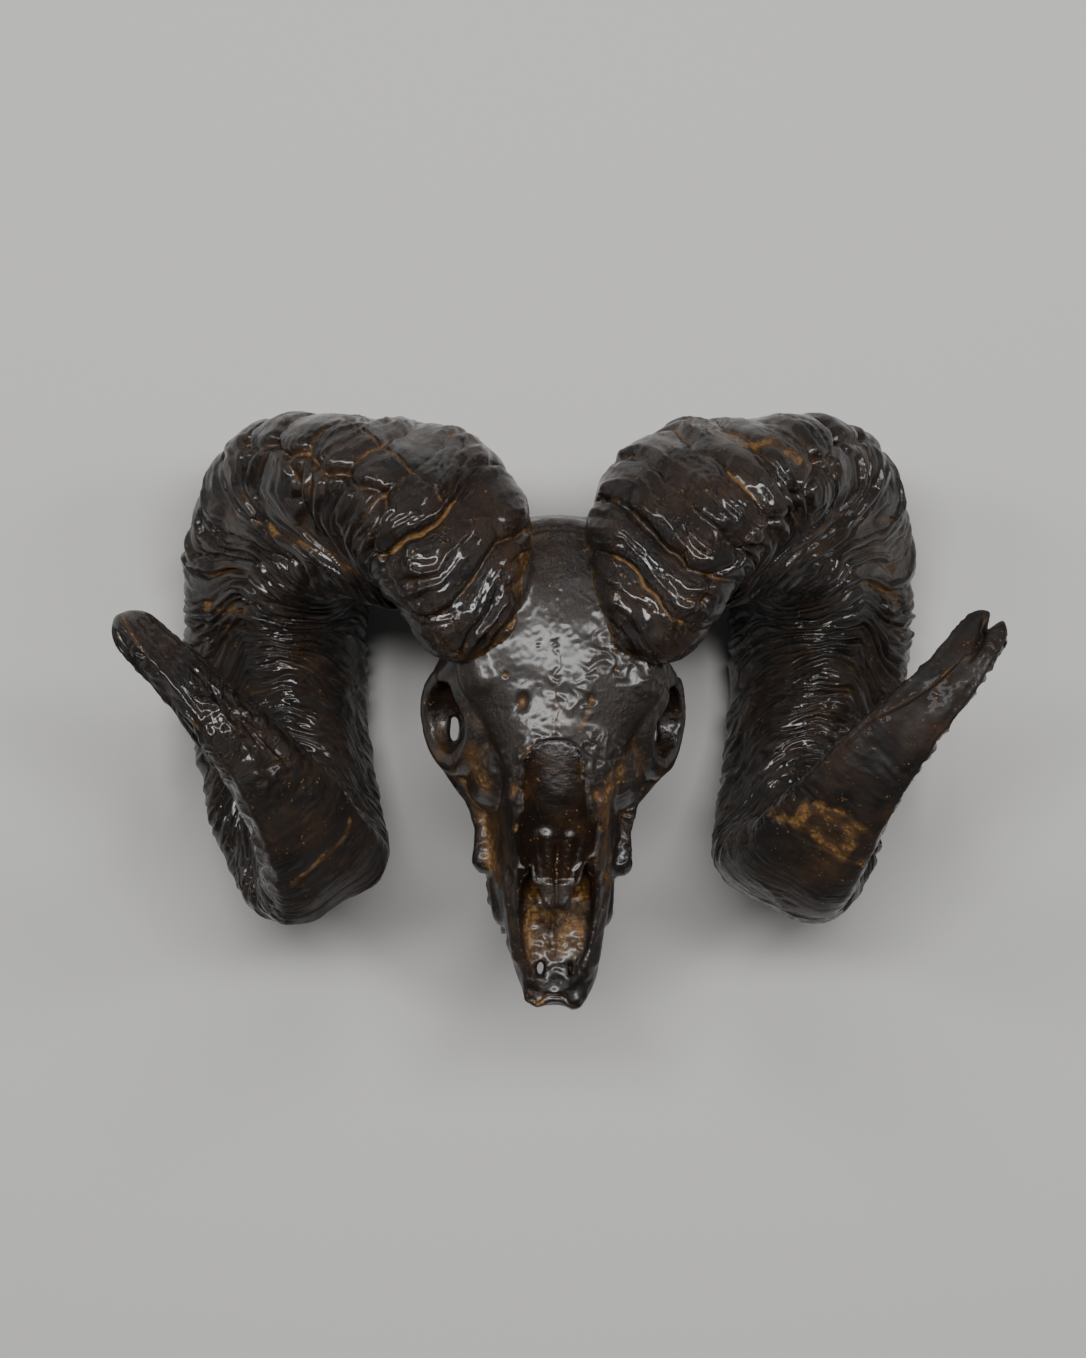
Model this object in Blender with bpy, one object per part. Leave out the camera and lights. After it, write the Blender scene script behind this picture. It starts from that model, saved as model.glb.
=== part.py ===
"""Ram skull with its pair of curled horns, a life-size bronze cast, lying face up.

It rests on the backs of its two horns, with the forehead up and the muzzle raised.
World frame: +X is the animal's left, +Y points past the horns, +Z is up, z = 0 is the table.
The skull is modelled in its own frame, in millimetres: x to the animal's left, y backward
from the front of the muzzle, z up from the chewing plane of the cheek teeth.
A horn is modelled round its coil: turn 0 is over the forehead, 90 past the poll, 180 at the
table, 270 beside the muzzle and 360 over the forehead again.
"""
import math

import bmesh
import bpy
import numpy as np
from mathutils import Matrix, Vector

MM = 0.001

# ---- how the pieces meet and rest ----
GAP = 0.3                   # clearance between lengths of horn, mm
FOOT_GAP = 0.6              # clearance between the skull and the foot of a horn, mm
SKULL_VOXEL = 2.0           # grain of the skull's blended surface, mm
SKULL_TRIANGLES = 4200
HORN_SIDES = 18

# ---- the skull's place in the world ----
SKULL_TILT = math.radians(28)               # muzzle raised
SKULL_ROLL = math.radians(3)                # teeth swung toward the animal's right
ROLL_HEIGHT = 90                            # height in the skull that the roll leaves in place
SKULL_ORIGIN = Vector((0, -171.5, 180)) * MM    # front of the muzzle at chewing height

# ---- skull body: y: (top, bottom, half-widths near the top, in the middle, near the bottom) ----
BODY = {
    2: (31, 21, 13, 17, 12),
    12: (40, 19, 15, 19, 14),
    25: (52, 18, 17, 22, 17),
    40: (66, 18, 18, 25, 22),
    70: (89, 20, 22, 27, 30),
    100: (107, 20, 25, 31, 34),
    125: (116, 22, 35, 36, 35),
    150: (127, 28, 52, 43, 31),
    175: (137, 34, 53, 42, 24),
    200: (142, 34, 46, 39, 25),
    225: (140, 34, 38, 39, 28),
    246: (118, 37, 32, 39, 30),
    260: (96, 44, 24, 31, 24),
}
BODY_STEP = 4               # spacing of the body's rings, mm

# ---- eye sockets ----
ORBIT_CENTRE = Vector((54, 145, 76))
ORBIT_NORMAL = Vector((0.88, -0.30, 0.34))
ORBIT_RADIUS = 23
ORBIT_RIM = 7.5
SOCKET_CENTRE = (47, 148, 72)               # the bowl of the socket before it is hollowed out
SOCKET_RADII = (17, 26, 25)

# ---- nasal opening: y: (half-width, height of its floor) ----
NASAL_OPENING = {5: (5, 34), 9: (9.5, 34), 16: (14, 35), 26: (18, 38), 38: (20.5, 44),
                 50: (21, 52), 58: (18, 60), 66: (10, 70)}
NASAL_OPENING_TOP = 100
NASAL_MIDDLE = -1.5         # the joint of the nasal bones lies this far to the animal's left

# ---- cheek teeth: three premolars and three molars a side ----
TOOTH_LENGTHS = (9, 10, 11, 13, 15, 15)     # front to back
TOOTH_ROW_START = 51.5
TOOTH_ROW_LENGTH = sum(TOOTH_LENGTHS)
TOOTH_LINE = (24.5, 29.5)   # distance of the row from the middle plane, in front and behind
TOOTH_WIDTHS = (8, 11, 13, 13, 13, 13)
TOOTH_CROWN = 24
TOOTH_LEAN = 0.12           # radians, crowns leaning outward
TOOTH_NOTCH = 2.2           # space between crowns

# ---- horn coil: value at a turn angle, the angles in degrees and the sizes in mm ----
COIL_CENTRE_Y = 13.2
COIL_CENTRE_Z = 133
ROOT_DIP = 31               # how far the first stretch sinks into the forehead
ROOT_SPAN = 51              # turn angle over which it sinks
TRIANGULARITY = 0.12        # how far the section departs from an ellipse
COIL_REACH_Y = ((13, 100), (60, 101), (140, 101), (225, 102), (270, 97), (300, 92), (330, 86),
                (360, 86), (382, 93))
COIL_REACH_Z = ((13, 91), (105, 92), (150, 97), (175, 93), (200, 90.5), (270, 88), (330, 90),
                (382, 92))
WIDTH = ((13, 44), (28, 71), (45, 92), (60, 103), (120, 104), (180, 101), (240, 87), (270, 73),
         (300, 59), (330, 44), (360, 30), (382, 24))
THICKNESS = ((13, 74), (28, 88), (45, 96), (60, 100), (90, 102), (120, 98), (180, 86), (240, 74),
             (290, 58), (330, 42), (360, 30), (382, 22))
SPREAD = {
    "left": ((13, 48), (28, 54), (45, 62), (60, 76), (90, 118), (135, 150), (165, 153),
             (200, 148), (240, 136), (270, 130), (300, 140), (330, 164), (360, 203), (382, 230)),
    "right": ((13, 48), (28, 54), (45, 62), (60, 76), (90, 118), (135, 150), (165, 153),
              (200, 149), (240, 138), (270, 131), (300, 137), (330, 160), (360, 197), (382, 232)),
}
TWIST = {
    "left": ((13, 8), (60, 6), (90, 4), (150, -12), (190, -18), (240, 8), (270, 26),
             (300, 22), (330, 16), (382, 10)),
    "right": ((13, 8), (60, 6), (90, 4), (150, -12), (190, -18), (240, 8), (270, 32),
              (300, 42), (330, 46), (382, 40)),
}
HORN_END = 382
TIP_ROUND = 6               # turn angle over which the blunt tip rounds off
# The four lengths of each horn: where along the coil they start and end, and where between
# two growth grooves a ring stands at full height, as shares of the way.
LENGTHS = (("base", 13, 82, (0.25, 0.75)), ("crown", 82, 165, (0.25, 0.75)),
           ("curl", 165, 262, (0.5,)), ("tip", 262, HORN_END, (0.5,)))
SIDES = (("left", 1), ("right", -1))

# ---- growth rings: (turn angle of a groove on the front of the horn, how deep it is) ----
GROOVES = {
    "left": ((13, 0.4), (27, 1.0), (38, 1.4), (49, 0.9), (61, 1.1), (71, 1.1), (82, 1.0), (93, 1.0),
             (104, 0.8), (116, 1.0), (128, 0.8), (140, 1.0), (152, 0.8), (165, 1.0), (180, 0.8),
             (196, 0.9), (213, 0.8), (230, 0.7), (246, 0.7), (262, 0.7), (282, 0.5), (305, 1.2),
             (316, 0.7), (337, 0.5), (356, 0.6), (376, 0.3)),
    "right": ((13, 0.4), (30, 1.1), (46, 1.4), (58, 0.7), (69, 1.0), (82, 1.1), (92, 0.8), (103, 0.9),
              (114, 0.8), (126, 1.0), (138, 0.8), (151, 1.0), (165, 0.8), (180, 0.9), (195, 0.8),
              (212, 0.9), (229, 0.7), (245, 0.7), (262, 0.7), (281, 0.6), (300, 1.1), (322, 0.6),
              (338, 0.9), (354, 1.0), (376, 0.3)),
}
GROOVE_DEPTH = ((13, 3.2), (60, 3.4), (120, 2.6), (200, 1.8), (260, 1.1), (382, 0.6))
# A groove's depth round the horn, and how far along the coil it sweeps, by angle round the section.
GROOVE_ROUND = ((-180, 0.3), (-80, 0.3), (-50, 0.9), (0, 1.0), (60, 1.0), (110, 0.7), (150, 0.5),
                (180, 0.3))
GROOVE_SWEEP = ((-180, 0), (-90, 4), (-60, 8), (-26, 6), (0, 0), (30, -5), (60, -6), (90, -3),
                (180, 0))
SWEEP_FADE = 14             # turn angle over which the sweep fades toward a cut

# ---- finish ----
BONE_COLOUR = (0.060, 0.045, 0.032, 1)
HORN_COLOUR = (0.048, 0.035, 0.026, 1)
ROUGHNESS = 0.28
METALLIC = 0.85


def clear_scene():
    for obj in list(bpy.data.objects):
        bpy.data.objects.remove(obj, do_unlink=True)


def bronze(name, colour):
    """A dark patinated bronze."""
    finish = bpy.data.materials.new(name)
    finish.use_nodes = True
    shader = finish.node_tree.nodes["Principled BSDF"]
    shader.inputs["Base Color"].default_value = colour
    shader.inputs["Roughness"].default_value = ROUGHNESS
    shader.inputs["Metallic"].default_value = METALLIC
    return finish


def eased(keys, x):
    """Value of a smooth curve through (place, value) keys."""
    places, values = np.array(keys, float).T
    slopes = np.gradient(values, places)
    i = np.clip(np.searchsorted(places, x, side="right") - 1, 0, len(places) - 2)
    h = places[i + 1] - places[i]
    t = (x - places[i]) / h
    return ((2 * t**3 - 3 * t**2 + 1) * values[i] + (t**3 - 2 * t**2 + t) * h * slopes[i]
            + (3 * t**2 - 2 * t**3) * values[i + 1] + (t**3 - t**2) * h * slopes[i + 1])


def stepped(keys, x):
    """Value on the straight lines between (place, value) keys."""
    places, values = np.array(keys, float).T
    return np.interp(x, places, values)


# ---------------------------------------------------------------- solids in a bmesh
def skin(bm, rings, ring_shaped=False):
    """Closed surface over rings of points; its ends are capped unless it joins up in a ring."""
    loops = [[bm.verts.new(p) for p in ring] for ring in rings]
    pairs = list(zip(loops, loops[1:]))
    if ring_shaped:
        pairs.append((loops[-1], loops[0]))
    else:
        bm.faces.new(loops[0])
        bm.faces.new(reversed(loops[-1]))
    for a, b in pairs:
        for i in range(len(a)):
            j = (i + 1) % len(a)
            bm.faces.new((a[j], a[i], b[i], b[j]))


def ellipsoid(bm, centre, radii):
    place = Matrix.Translation(centre) @ Matrix.Diagonal((*radii, 1))
    bmesh.ops.create_icosphere(bm, subdivisions=3, radius=1, matrix=place)


def block(bm, centre, size, lean=0):
    """Box of the given size, leaning outward by an angle about Y."""
    turn = Matrix.Rotation(lean, 4, "Y")
    place = Matrix.Translation(centre) @ turn @ Matrix.Diagonal((*size, 1))
    bmesh.ops.create_cube(bm, size=1, matrix=place)


def rod(bm, start, end, r0, r1, flat=1.0, sides=12):
    """Round-ended tapering rod; flat squeezes it across its side."""
    start, end = Vector(start), Vector(end)
    turn = (end - start).to_track_quat("Z", "Y").to_matrix()
    length = (end - start).length
    stations = [(-r0 * math.cos(a), r0 * math.sin(a)) for a in np.radians((12, 35, 60, 90))]
    stations += [(length + r1 * math.cos(a), r1 * math.sin(a)) for a in np.radians((90, 60, 35, 12))]
    turns = np.linspace(0, 2 * math.pi, sides, endpoint=False)
    skin(bm, [[start + turn @ Vector((r * flat * math.cos(t), r * math.sin(t), z)) for t in turns]
              for z, r in stations])


def hoop(bm, centre, normal, radius, rim, sides=36):
    """Ring of round section, such as a socket's rim."""
    turn = Vector(normal).to_track_quat("Z", "Y").to_matrix()
    section = np.linspace(0, 2 * math.pi, 12, endpoint=False)
    skin(bm, [[centre + turn @ Vector(((radius + rim * math.cos(a)) * math.cos(t),
                                       (radius + rim * math.cos(a)) * math.sin(t),
                                       rim * math.sin(a))) for a in section]
              for t in np.linspace(0, 2 * math.pi, sides, endpoint=False)], ring_shaped=True)


def body_ring(y):
    """Section of the skull's body at y: a smooth closed curve through eight guide points."""
    top, bottom, high, middle, low = (eased([(k, v[n]) for k, v in BODY.items()], y)
                                      for n in range(5))
    tall = top - bottom
    half = ((0, top), (high, top - 0.13 * tall), (middle, bottom + 0.52 * tall),
            (low, bottom + 0.12 * tall), (0, bottom))
    guide = list(half) + [(-x, z) for x, z in half[-2:0:-1]]
    n = len(guide)
    ring = []
    for i in range(n):
        p = [Vector(guide[(i + k) % n]) for k in (-1, 0, 1, 2)]
        for t in (0, 0.25, 0.5, 0.75):
            x, z = 0.5 * (2 * p[1] + (p[2] - p[0]) * t + (2 * p[0] - 5 * p[1] + 4 * p[2] - p[3]) * t**2
                          + (3 * p[1] - p[0] - 3 * p[2] + p[3]) * t**3)
            ring.append((x, y, z))
    return ring


# ---------------------------------------------------------------- the skull
def add_body(bm):
    first, last = min(BODY), max(BODY)
    skin(bm, [body_ring(y) for y in np.arange(first, last + 0.1, BODY_STEP)])


def add_muzzle(bm, s):
    """The prongs beside the nasal opening and the tip's lobes."""
    rod(bm, (s * 12.5 + 1, 8, 27), (s * 20, 34, 34), 6, 6)
    rod(bm, (s * 9.5 + 1, 5, 27), (s * 9 + 1, 8, 26), 6.5, 6.5)
    rod(bm, (s * 20, 24, 38), (s * 25, 60, 58), 4, 5)


def add_nasal_bones(bm):
    """The two nasal bones, whose tips overhang the nasal opening."""
    for s in (-1, 1):
        rod(bm, (NASAL_MIDDLE + s * 3.6, 41, 67), (NASAL_MIDDLE + s * 6, 70, 82), 3.5, 6)
        rod(bm, (NASAL_MIDDLE + s * 8.5, 53, 74), (s * 12, 76, 84), 3.8, 5.5)
        rod(bm, (s * 19, 60, 70), (s * 17, 84, 84), 4, 6)


def add_cheek(bm, s):
    """The face side with its tuber and crest, and the front of the eye socket."""
    ellipsoid(bm, (s * 31, 124, 66), (17, 25, 28))
    rod(bm, (s * 36.5, 82, 33), (s * 37, 98, 39), 7.5, 5.5)
    rod(bm, (s * 37, 98, 39), (s * 41, 114, 46), 5.5, 6)
    rod(bm, (s * 41, 114, 46), (s * 57, 135, 56), 6, 8)


def add_socket(bm, s):
    """The socket's rim, the bar behind it and the arch back to the braincase."""
    mirror = Vector((s, 1, 1))
    hoop(bm, ORBIT_CENTRE * mirror, ORBIT_NORMAL * mirror, ORBIT_RADIUS, ORBIT_RIM)
    ellipsoid(bm, (s * SOCKET_CENTRE[0], *SOCKET_CENTRE[1:]), SOCKET_RADII)
    rod(bm, (s * 46, 166, 112), (s * 58, 164, 88), 9, 7)
    ellipsoid(bm, (s * 50, 153, 89), (10, 19, 15))
    rod(bm, (s * 66, 158, 56), (s * 60, 184, 56), 6, 5)
    rod(bm, (s * 60, 184, 56), (s * 42, 216, 62), 5, 6)


def add_teeth(bm, s):
    """The bone that holds a row of cheek teeth, and their ribbed crowns."""
    front, back = TOOTH_ROW_START, TOOTH_ROW_START + TOOTH_ROW_LENGTH
    rod(bm, (s * TOOTH_LINE[0], front + 4, 25), (s * TOOTH_LINE[1], back - 2, 26), 8, 10)
    for i, length in enumerate(TOOTH_LENGTHS):
        y = front + sum(TOOTH_LENGTHS[:i]) + length / 2
        width = TOOTH_WIDTHS[i]
        x = s * (np.interp(y, (front, back), TOOTH_LINE) - (max(TOOTH_WIDTHS) - width) / 2)
        block(bm, (x, y, TOOTH_CROWN / 2), (width, length - TOOTH_NOTCH, TOOTH_CROWN),
              lean=-s * TOOTH_LEAN)
        block(bm, (x + s * (width / 2 - 1.5), y, TOOTH_CROWN / 2), (5, 0.4 * length, TOOTH_CROWN - 2),
              lean=-s * TOOTH_LEAN)


def add_skull_base(bm, s):
    """Wings below the throat opening, hearing bullae, the spurs beside them and the condyles."""
    rod(bm, (s * 15, 150, 30), (s * 13, 178, 15), 3.5, 2.5)
    rod(bm, (s * 14, 158, 34), (s * 15, 186, 34), 5, 6)
    ellipsoid(bm, (s * 23, 222, 30), (10, 15, 14))
    rod(bm, (s * 33, 246, 48), (s * 34, 250, 20), 9, 4, flat=0.7)
    ellipsoid(bm, (s * 14, 264, 52), (10, 10, 15))
    ellipsoid(bm, (s * 38, 246, 66), (9, 14, 20))


def add_roof(bm, s):
    """The swelling that carries the horn, and the brow over the socket."""
    ellipsoid(bm, (s * 36, 204, 128), (26, 30, 20))
    rod(bm, (s * 40, 150, 112), (s * 47, 172, 118), 10, 10)


def add_crest(bm):
    rod(bm, (-30, 252, 97), (30, 252, 97), 6, 6)
    ellipsoid(bm, (0, 222, 128), (34, 16, 15))
    rod(bm, (0, 200, 38), (0, 262, 42), 9, 11)


def nasal_ring(y, half, floor):
    """Section of the nasal opening: a floor with rounded corners, and an open top."""
    shape = ((1, 0.6), (0.93, 0.3), (0.7, 0.1), (0, 0), (-0.7, 0.1), (-0.93, 0.3), (-1, 0.6))
    low = [(x * half, y, floor + z * half) for x, z in shape]
    return low + [(-half, y, NASAL_OPENING_TOP), (half, y, NASAL_OPENING_TOP)]


def add_hollows(bm):
    """What is cut out of the skull: nasal opening, slots in its floor, sockets and openings."""
    skin(bm, [nasal_ring(y, *size) for y, size in NASAL_OPENING.items()])
    rod(bm, (0, 146, 34), (0, 182, 36), 9.5, 8)
    rod(bm, (0, 252, 62), (0, 300, 62), 9, 9)
    for s in (-1, 1):
        rod(bm, (s * 7.5, 16, 24), (s * 8.5, 31, 24), 3, 3)
        rod(bm, (s * 7.5, 19, 10), (s * 7.5, 19, 40), 3.3, 3.3)
        rod(bm, (s * 8.2, 27, 10), (s * 8.2, 24, 40), 3.3, 3.3)
        ellipsoid(bm, (s * 62, 143, 80), (17, 18, 18))
        rod(bm, (s * 54.5, 155, 59), (s * 53, 178, 44), 5, 9)
        rod(bm, (s * 54, 128, 95), (s * 54, 168, 20), 6.5, 6.5, flat=0.45)
        rod(bm, (s * 54, 180, 84), (s * 56, 204, 88), 15, 12)
        rod(bm, (s * 20, 146, 122), (s * 21, 142, 140), 2.4, 2.8)


def mesh_object(name, bm, to_world=Matrix.Identity(4)):
    """Object from a bmesh in millimetres."""
    bmesh.ops.transform(bm, matrix=to_world @ Matrix.Scale(MM, 4), verts=bm.verts)
    bmesh.ops.recalc_face_normals(bm, faces=bm.faces)
    mesh = bpy.data.meshes.new(name)
    bm.to_mesh(mesh)
    bm.free()
    obj = bpy.data.objects.new(name, mesh)
    bpy.context.scene.collection.objects.link(obj)
    return obj


def guide(obj):
    """Marks an object as a cutter, which the build leaves out."""
    obj.hide_render = True
    obj.display_type = "WIRE"


def blend_solids(obj, voxel):
    """Voxel remesh, which joins overlapping solids in one skin."""
    remesh = obj.modifiers.new(f"blend_{len(obj.modifiers)}", "REMESH")
    remesh.mode = "VOXEL"
    remesh.voxel_size = voxel * MM


def cut(obj, cutter):
    boolean = obj.modifiers.new("cut", "BOOLEAN")
    boolean.operation = "DIFFERENCE"
    boolean.solver = "EXACT"
    boolean.object = cutter


def soften(obj, factor, times):
    smooth = obj.modifiers.new("soften", "SMOOTH")
    smooth.factor = factor
    smooth.iterations = times


def baked(obj):
    """The object with its modifiers applied."""
    evaluated = obj.evaluated_get(bpy.context.evaluated_depsgraph_get())
    mesh = bpy.data.meshes.new_from_object(evaluated)
    obj.modifiers.clear()
    obj.data = mesh
    return obj


def skull_frame():
    """From the skull's own frame, in metres, to the world."""
    axle = Matrix.Translation((0, 0, ROLL_HEIGHT * MM))
    roll = axle @ Matrix.Rotation(SKULL_ROLL, 4, "Y") @ axle.inverted()
    return Matrix.Translation(SKULL_ORIGIN) @ Matrix.Rotation(-SKULL_TILT, 4, "X") @ roll


def lay_nasal_bones(skull, frame):
    """Adds the nasal bones once the opening is cut, so that their tips stay whole."""
    bones = bmesh.new()
    add_nasal_bones(bones)
    bmesh.ops.transform(bones, matrix=frame @ Matrix.Scale(MM, 4), verts=bones.verts)
    bmesh.ops.recalc_face_normals(bones, faces=bones.faces)
    bones.from_mesh(skull.data)
    bones.to_mesh(skull.data)
    bones.free()


def make_skull(finish):
    frame = skull_frame()
    solids = bmesh.new()
    add_body(solids)
    add_crest(solids)
    for s in (-1, 1):
        add_muzzle(solids, s)
        add_cheek(solids, s)
        add_socket(solids, s)
        add_teeth(solids, s)
        add_skull_base(solids, s)
        add_roof(solids, s)
    skull = mesh_object("skull", solids, frame)
    blend_solids(skull, SKULL_VOXEL)

    hollows = bmesh.new()
    add_hollows(hollows)
    cutter = mesh_object("skull_hollows", hollows, frame)
    blend_solids(cutter, 0.6 * SKULL_VOXEL)
    baked(cutter)
    guide(cutter)

    cut(skull, cutter)
    baked(skull)
    lay_nasal_bones(skull, frame)
    blend_solids(skull, SKULL_VOXEL)
    soften(skull, 0.5, 4)
    baked(skull)
    thin = skull.modifiers.new("thin", "DECIMATE")
    thin.ratio = SKULL_TRIANGLES / (2 * len(skull.data.polygons))
    baked(skull)
    skull.data.materials.append(finish)
    skull.data.shade_smooth()
    return skull


# ---------------------------------------------------------------- the horns
def ring_turns(side, start, end, crests):
    """Turn angles of the rings, from groove to groove, and the depth of the groove at each."""
    grooves = [(turn, depth) for turn, depth in GROOVES[side] if start <= turn <= end]
    turns, depths = [], []
    for (turn, depth), (following, _) in zip(grooves, grooves[1:]):
        turns += [turn] + [turn + share * (following - turn) for share in crests]
        depths += [depth] + [0] * len(crests)
    turns.append(grooves[-1][0])
    depths.append(grooves[-1][1])
    if end == HORN_END:
        turns += [HORN_END - TIP_ROUND * left for left in (0.6, 0.3, 0.1, 0)]
        depths += [0] * 4
    return np.array(turns), np.array(depths)


def horn_rings(side, mirror, start, end, crests):
    """Rings of a length of horn, from one turn angle to another, in mm."""
    level, depths = ring_turns(side, start, end, crests)
    theta = np.linspace(-180, 180, HORN_SIDES, endpoint=False)
    fade = np.clip(np.minimum(level - start, end - level) / SWEEP_FADE, 0, 1)
    fade *= np.clip((260 - level) / 160, 0, 1)
    turns = level[:, None] + fade[:, None] * stepped(GROOVE_SWEEP, theta)
    # A short step on each side gives the coil's direction at every point.
    step = 0.5
    before, here, after = (coil_point(side, turns + d) for d in (-step, 0, step))
    along = after - before
    along /= np.linalg.norm(along, axis=-1)[..., None]
    angle = np.radians(turns)
    outward = np.stack([0 * angle, np.sin(angle), np.cos(angle)], axis=-1)
    front = outward - (outward * along).sum(axis=-1)[..., None] * along
    front /= np.linalg.norm(front, axis=-1)[..., None]
    lateral = np.cross(along, front)
    lateral *= np.sign(lateral[..., :1])

    theta_rad = np.radians(theta)
    reach = 1 - TRIANGULARITY * np.cos(3 * theta_rad)
    blunt = np.sqrt(1 - np.clip(1 - (HORN_END - turns) / TIP_ROUND, 0, 0.97)**2)
    f = blunt * eased(THICKNESS, turns) / 2 * reach * np.cos(theta_rad)
    w = blunt * eased(WIDTH, turns) / 2 * reach * np.sin(theta_rad)
    sunk = (depths * eased(GROOVE_DEPTH, level))[:, None] * stepped(GROOVE_ROUND, theta)
    kept = 1 - sunk / np.hypot(f, w)
    f, w = f * kept, w * kept
    twist = np.radians(eased(TWIST[side], turns))
    f, w = f * np.cos(twist) + w * np.sin(twist), w * np.cos(twist) - f * np.sin(twist)
    rings = here + f[..., None] * front + w[..., None] * lateral

    ends = np.zeros(turns.shape)
    ends[0], ends[-1] = GAP / 2, -GAP / 2
    rings += ends[..., None] * along
    rings[..., 2] = np.maximum(rings[..., 2], 0)        # the small flats it rests on
    rings[..., 0] *= mirror
    return rings


def coil_point(side, turn):
    """Middle of the horn at a turn angle, for the left horn."""
    angle = np.radians(turn)
    sunk = np.maximum(1 - (turn - LENGTHS[0][1]) / ROOT_SPAN, 0)
    return np.stack([eased(SPREAD[side], turn),
                     COIL_CENTRE_Y + eased(COIL_REACH_Y, turn) * np.sin(angle),
                     COIL_CENTRE_Z + eased(COIL_REACH_Z, turn) * np.cos(angle)
                     - ROOT_DIP * sunk**2], axis=-1)


def make_horn(side, mirror, finish, clearance):
    for name, start, end, crests in LENGTHS:
        bm = bmesh.new()
        skin(bm, horn_rings(side, mirror, start, end, crests))
        horn = mesh_object(f"horn_{side}_{name}", bm)
        if name == "base":
            cut(horn, clearance)
            baked(horn)
        horn.data.materials.clear()
        horn.data.materials.append(finish)
        horn.data.shade_smooth()


def skull_clearance(skull):
    """The skull grown by a gap, which shapes the foot of each horn."""
    grown = bpy.data.objects.new("skull_clearance", skull.data.copy())
    bpy.context.scene.collection.objects.link(grown)
    swell = grown.modifiers.new("swell", "DISPLACE")
    swell.strength = FOOT_GAP * MM
    swell.mid_level = 0
    guide(grown)
    return grown


def main():
    clear_scene()
    skull = make_skull(bronze("bone_bronze", BONE_COLOUR))
    clearance = skull_clearance(skull)
    horn_finish = bronze("horn_bronze", HORN_COLOUR)
    for side, mirror in SIDES:
        make_horn(side, mirror, horn_finish, clearance)


main()
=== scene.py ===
# %% [markdown]
# # A ram's skull, cast in bronze
# The object is a life-size bronze cast of a ram's skull with a full curl of horn on each
# side. It lies face up on the backs of its horns. Bone and horn are one dark brown metal,
# polished where hands reach it and ochre where polish and dirt stay behind. So the looks
# come from two things: relief, which a cast copies from bone and horn down to the pores,
# and a patina that knows where the relief is deep. This lesson models the relief as real
# geometry, stores the depth of every place on the mesh, and lets one kind of material read
# it.

import math

import bmesh
import bpy
import numpy as np
from mathutils import Matrix, Vector
from mathutils.bvhtree import BVHTree


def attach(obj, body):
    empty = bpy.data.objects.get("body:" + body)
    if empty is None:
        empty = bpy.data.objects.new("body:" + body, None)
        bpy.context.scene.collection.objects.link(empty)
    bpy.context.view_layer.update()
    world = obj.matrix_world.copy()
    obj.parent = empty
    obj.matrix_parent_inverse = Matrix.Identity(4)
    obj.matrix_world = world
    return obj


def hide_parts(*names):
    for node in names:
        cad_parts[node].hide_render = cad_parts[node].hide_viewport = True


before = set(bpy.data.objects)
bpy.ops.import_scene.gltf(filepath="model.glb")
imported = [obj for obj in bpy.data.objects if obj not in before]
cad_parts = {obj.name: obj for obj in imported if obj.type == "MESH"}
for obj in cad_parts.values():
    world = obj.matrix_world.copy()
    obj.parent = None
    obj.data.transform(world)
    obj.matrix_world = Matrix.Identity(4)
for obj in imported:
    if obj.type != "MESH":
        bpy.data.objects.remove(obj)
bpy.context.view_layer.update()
print("solids:", ", ".join(sorted(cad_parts)))

# %% [markdown]
# ## Tools for relief
# Bone and horn are never regular, so every form below is bent or broken up by noise. A
# texture node could do that for shading alone, but here the mesh itself moves, so the noise
# is worked out for all its points at once with numpy. It is gradient noise: each corner of
# a grid of cubes has a fixed slope, and a point blends the slopes of the eight corners
# round it. The same point always gets the same value, so the script repeats exactly.

# %% Noise
MM = 0.001


def noise(points, size, seed=0):
    """Smooth noise, about -1 to 1, at points in mm. Its lumps are about half of size wide."""
    place = np.asarray(points, float) / size
    cell = np.floor(place).astype(np.int64)
    inside = place - cell
    fade = inside**3 * (inside * (inside * 6 - 15) + 10)
    total = 0
    for corner in np.ndindex(2, 2, 2):
        x, y, z = np.moveaxis(cell + corner, -1, 0)
        mix = (x * 374761393 + y * 668265263 + z * 974634777 + seed * 362437) & 0xFFFFFFFF
        mix = ((mix ^ (mix >> 13)) * 1274126177) & 0xFFFFFFFF
        mix ^= mix >> 15
        slope = np.stack([(mix >> shift & 1023) / 511.5 - 1 for shift in (0, 10, 20)], axis=-1)
        weight = np.where(corner, fade, 1 - fade).prod(axis=-1)
        total = total + weight * ((inside - corner) * slope).sum(axis=-1)
    return 1.7 * total


print("noise at three points:", noise([(1, 2, 3), (4, 5, 6), (7, 8, 9)], 5).round(3))

# %% Curves through named places


def eased(keys, x):
    """Value of a smooth curve through (place, value) keys."""
    places, values = np.array(keys, float).T
    slopes = np.gradient(values, places)
    i = np.clip(np.searchsorted(places, x, side="right") - 1, 0, len(places) - 2)
    h = places[i + 1] - places[i]
    t = (x - places[i]) / h
    return ((2 * t**3 - 3 * t**2 + 1) * values[i] + (t**3 - 2 * t**2 + t) * h * slopes[i]
            + (3 * t**2 - 2 * t**3) * values[i + 1] + (t**3 - t**2) * h * slopes[i + 1])


def keyed(keys, x):
    """Value of straight steps between (place, value) keys."""
    places, values = np.array(keys, float).T
    return np.interp(x, places, values)


def hill(distance, width):
    """1 at no distance, falling smoothly to nothing at about twice the width."""
    return np.exp(-(distance / width)**2)


def between(x, low, high, soft):
    """1 from low to high, with soft ends."""
    return np.clip((x - low) / soft + 0.5, 0, 1) * np.clip((high - x) / soft + 0.5, 0, 1)


def off_line(across, along, line):
    """Least distance to a line of points on a surface, all in the surface's own mm."""
    least = np.full(across.shape, 1e9)
    for (x0, y0), (x1, y1) in zip(line, line[1:]):
        dx, dy = x1 - x0, y1 - y0
        t = np.clip(((across - x0) * dx + (along - y0) * dy) / (dx * dx + dy * dy), 0, 1)
        least = np.minimum(least, np.hypot(across - x0 - t * dx, along - y0 - t * dy))
    return least


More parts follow.
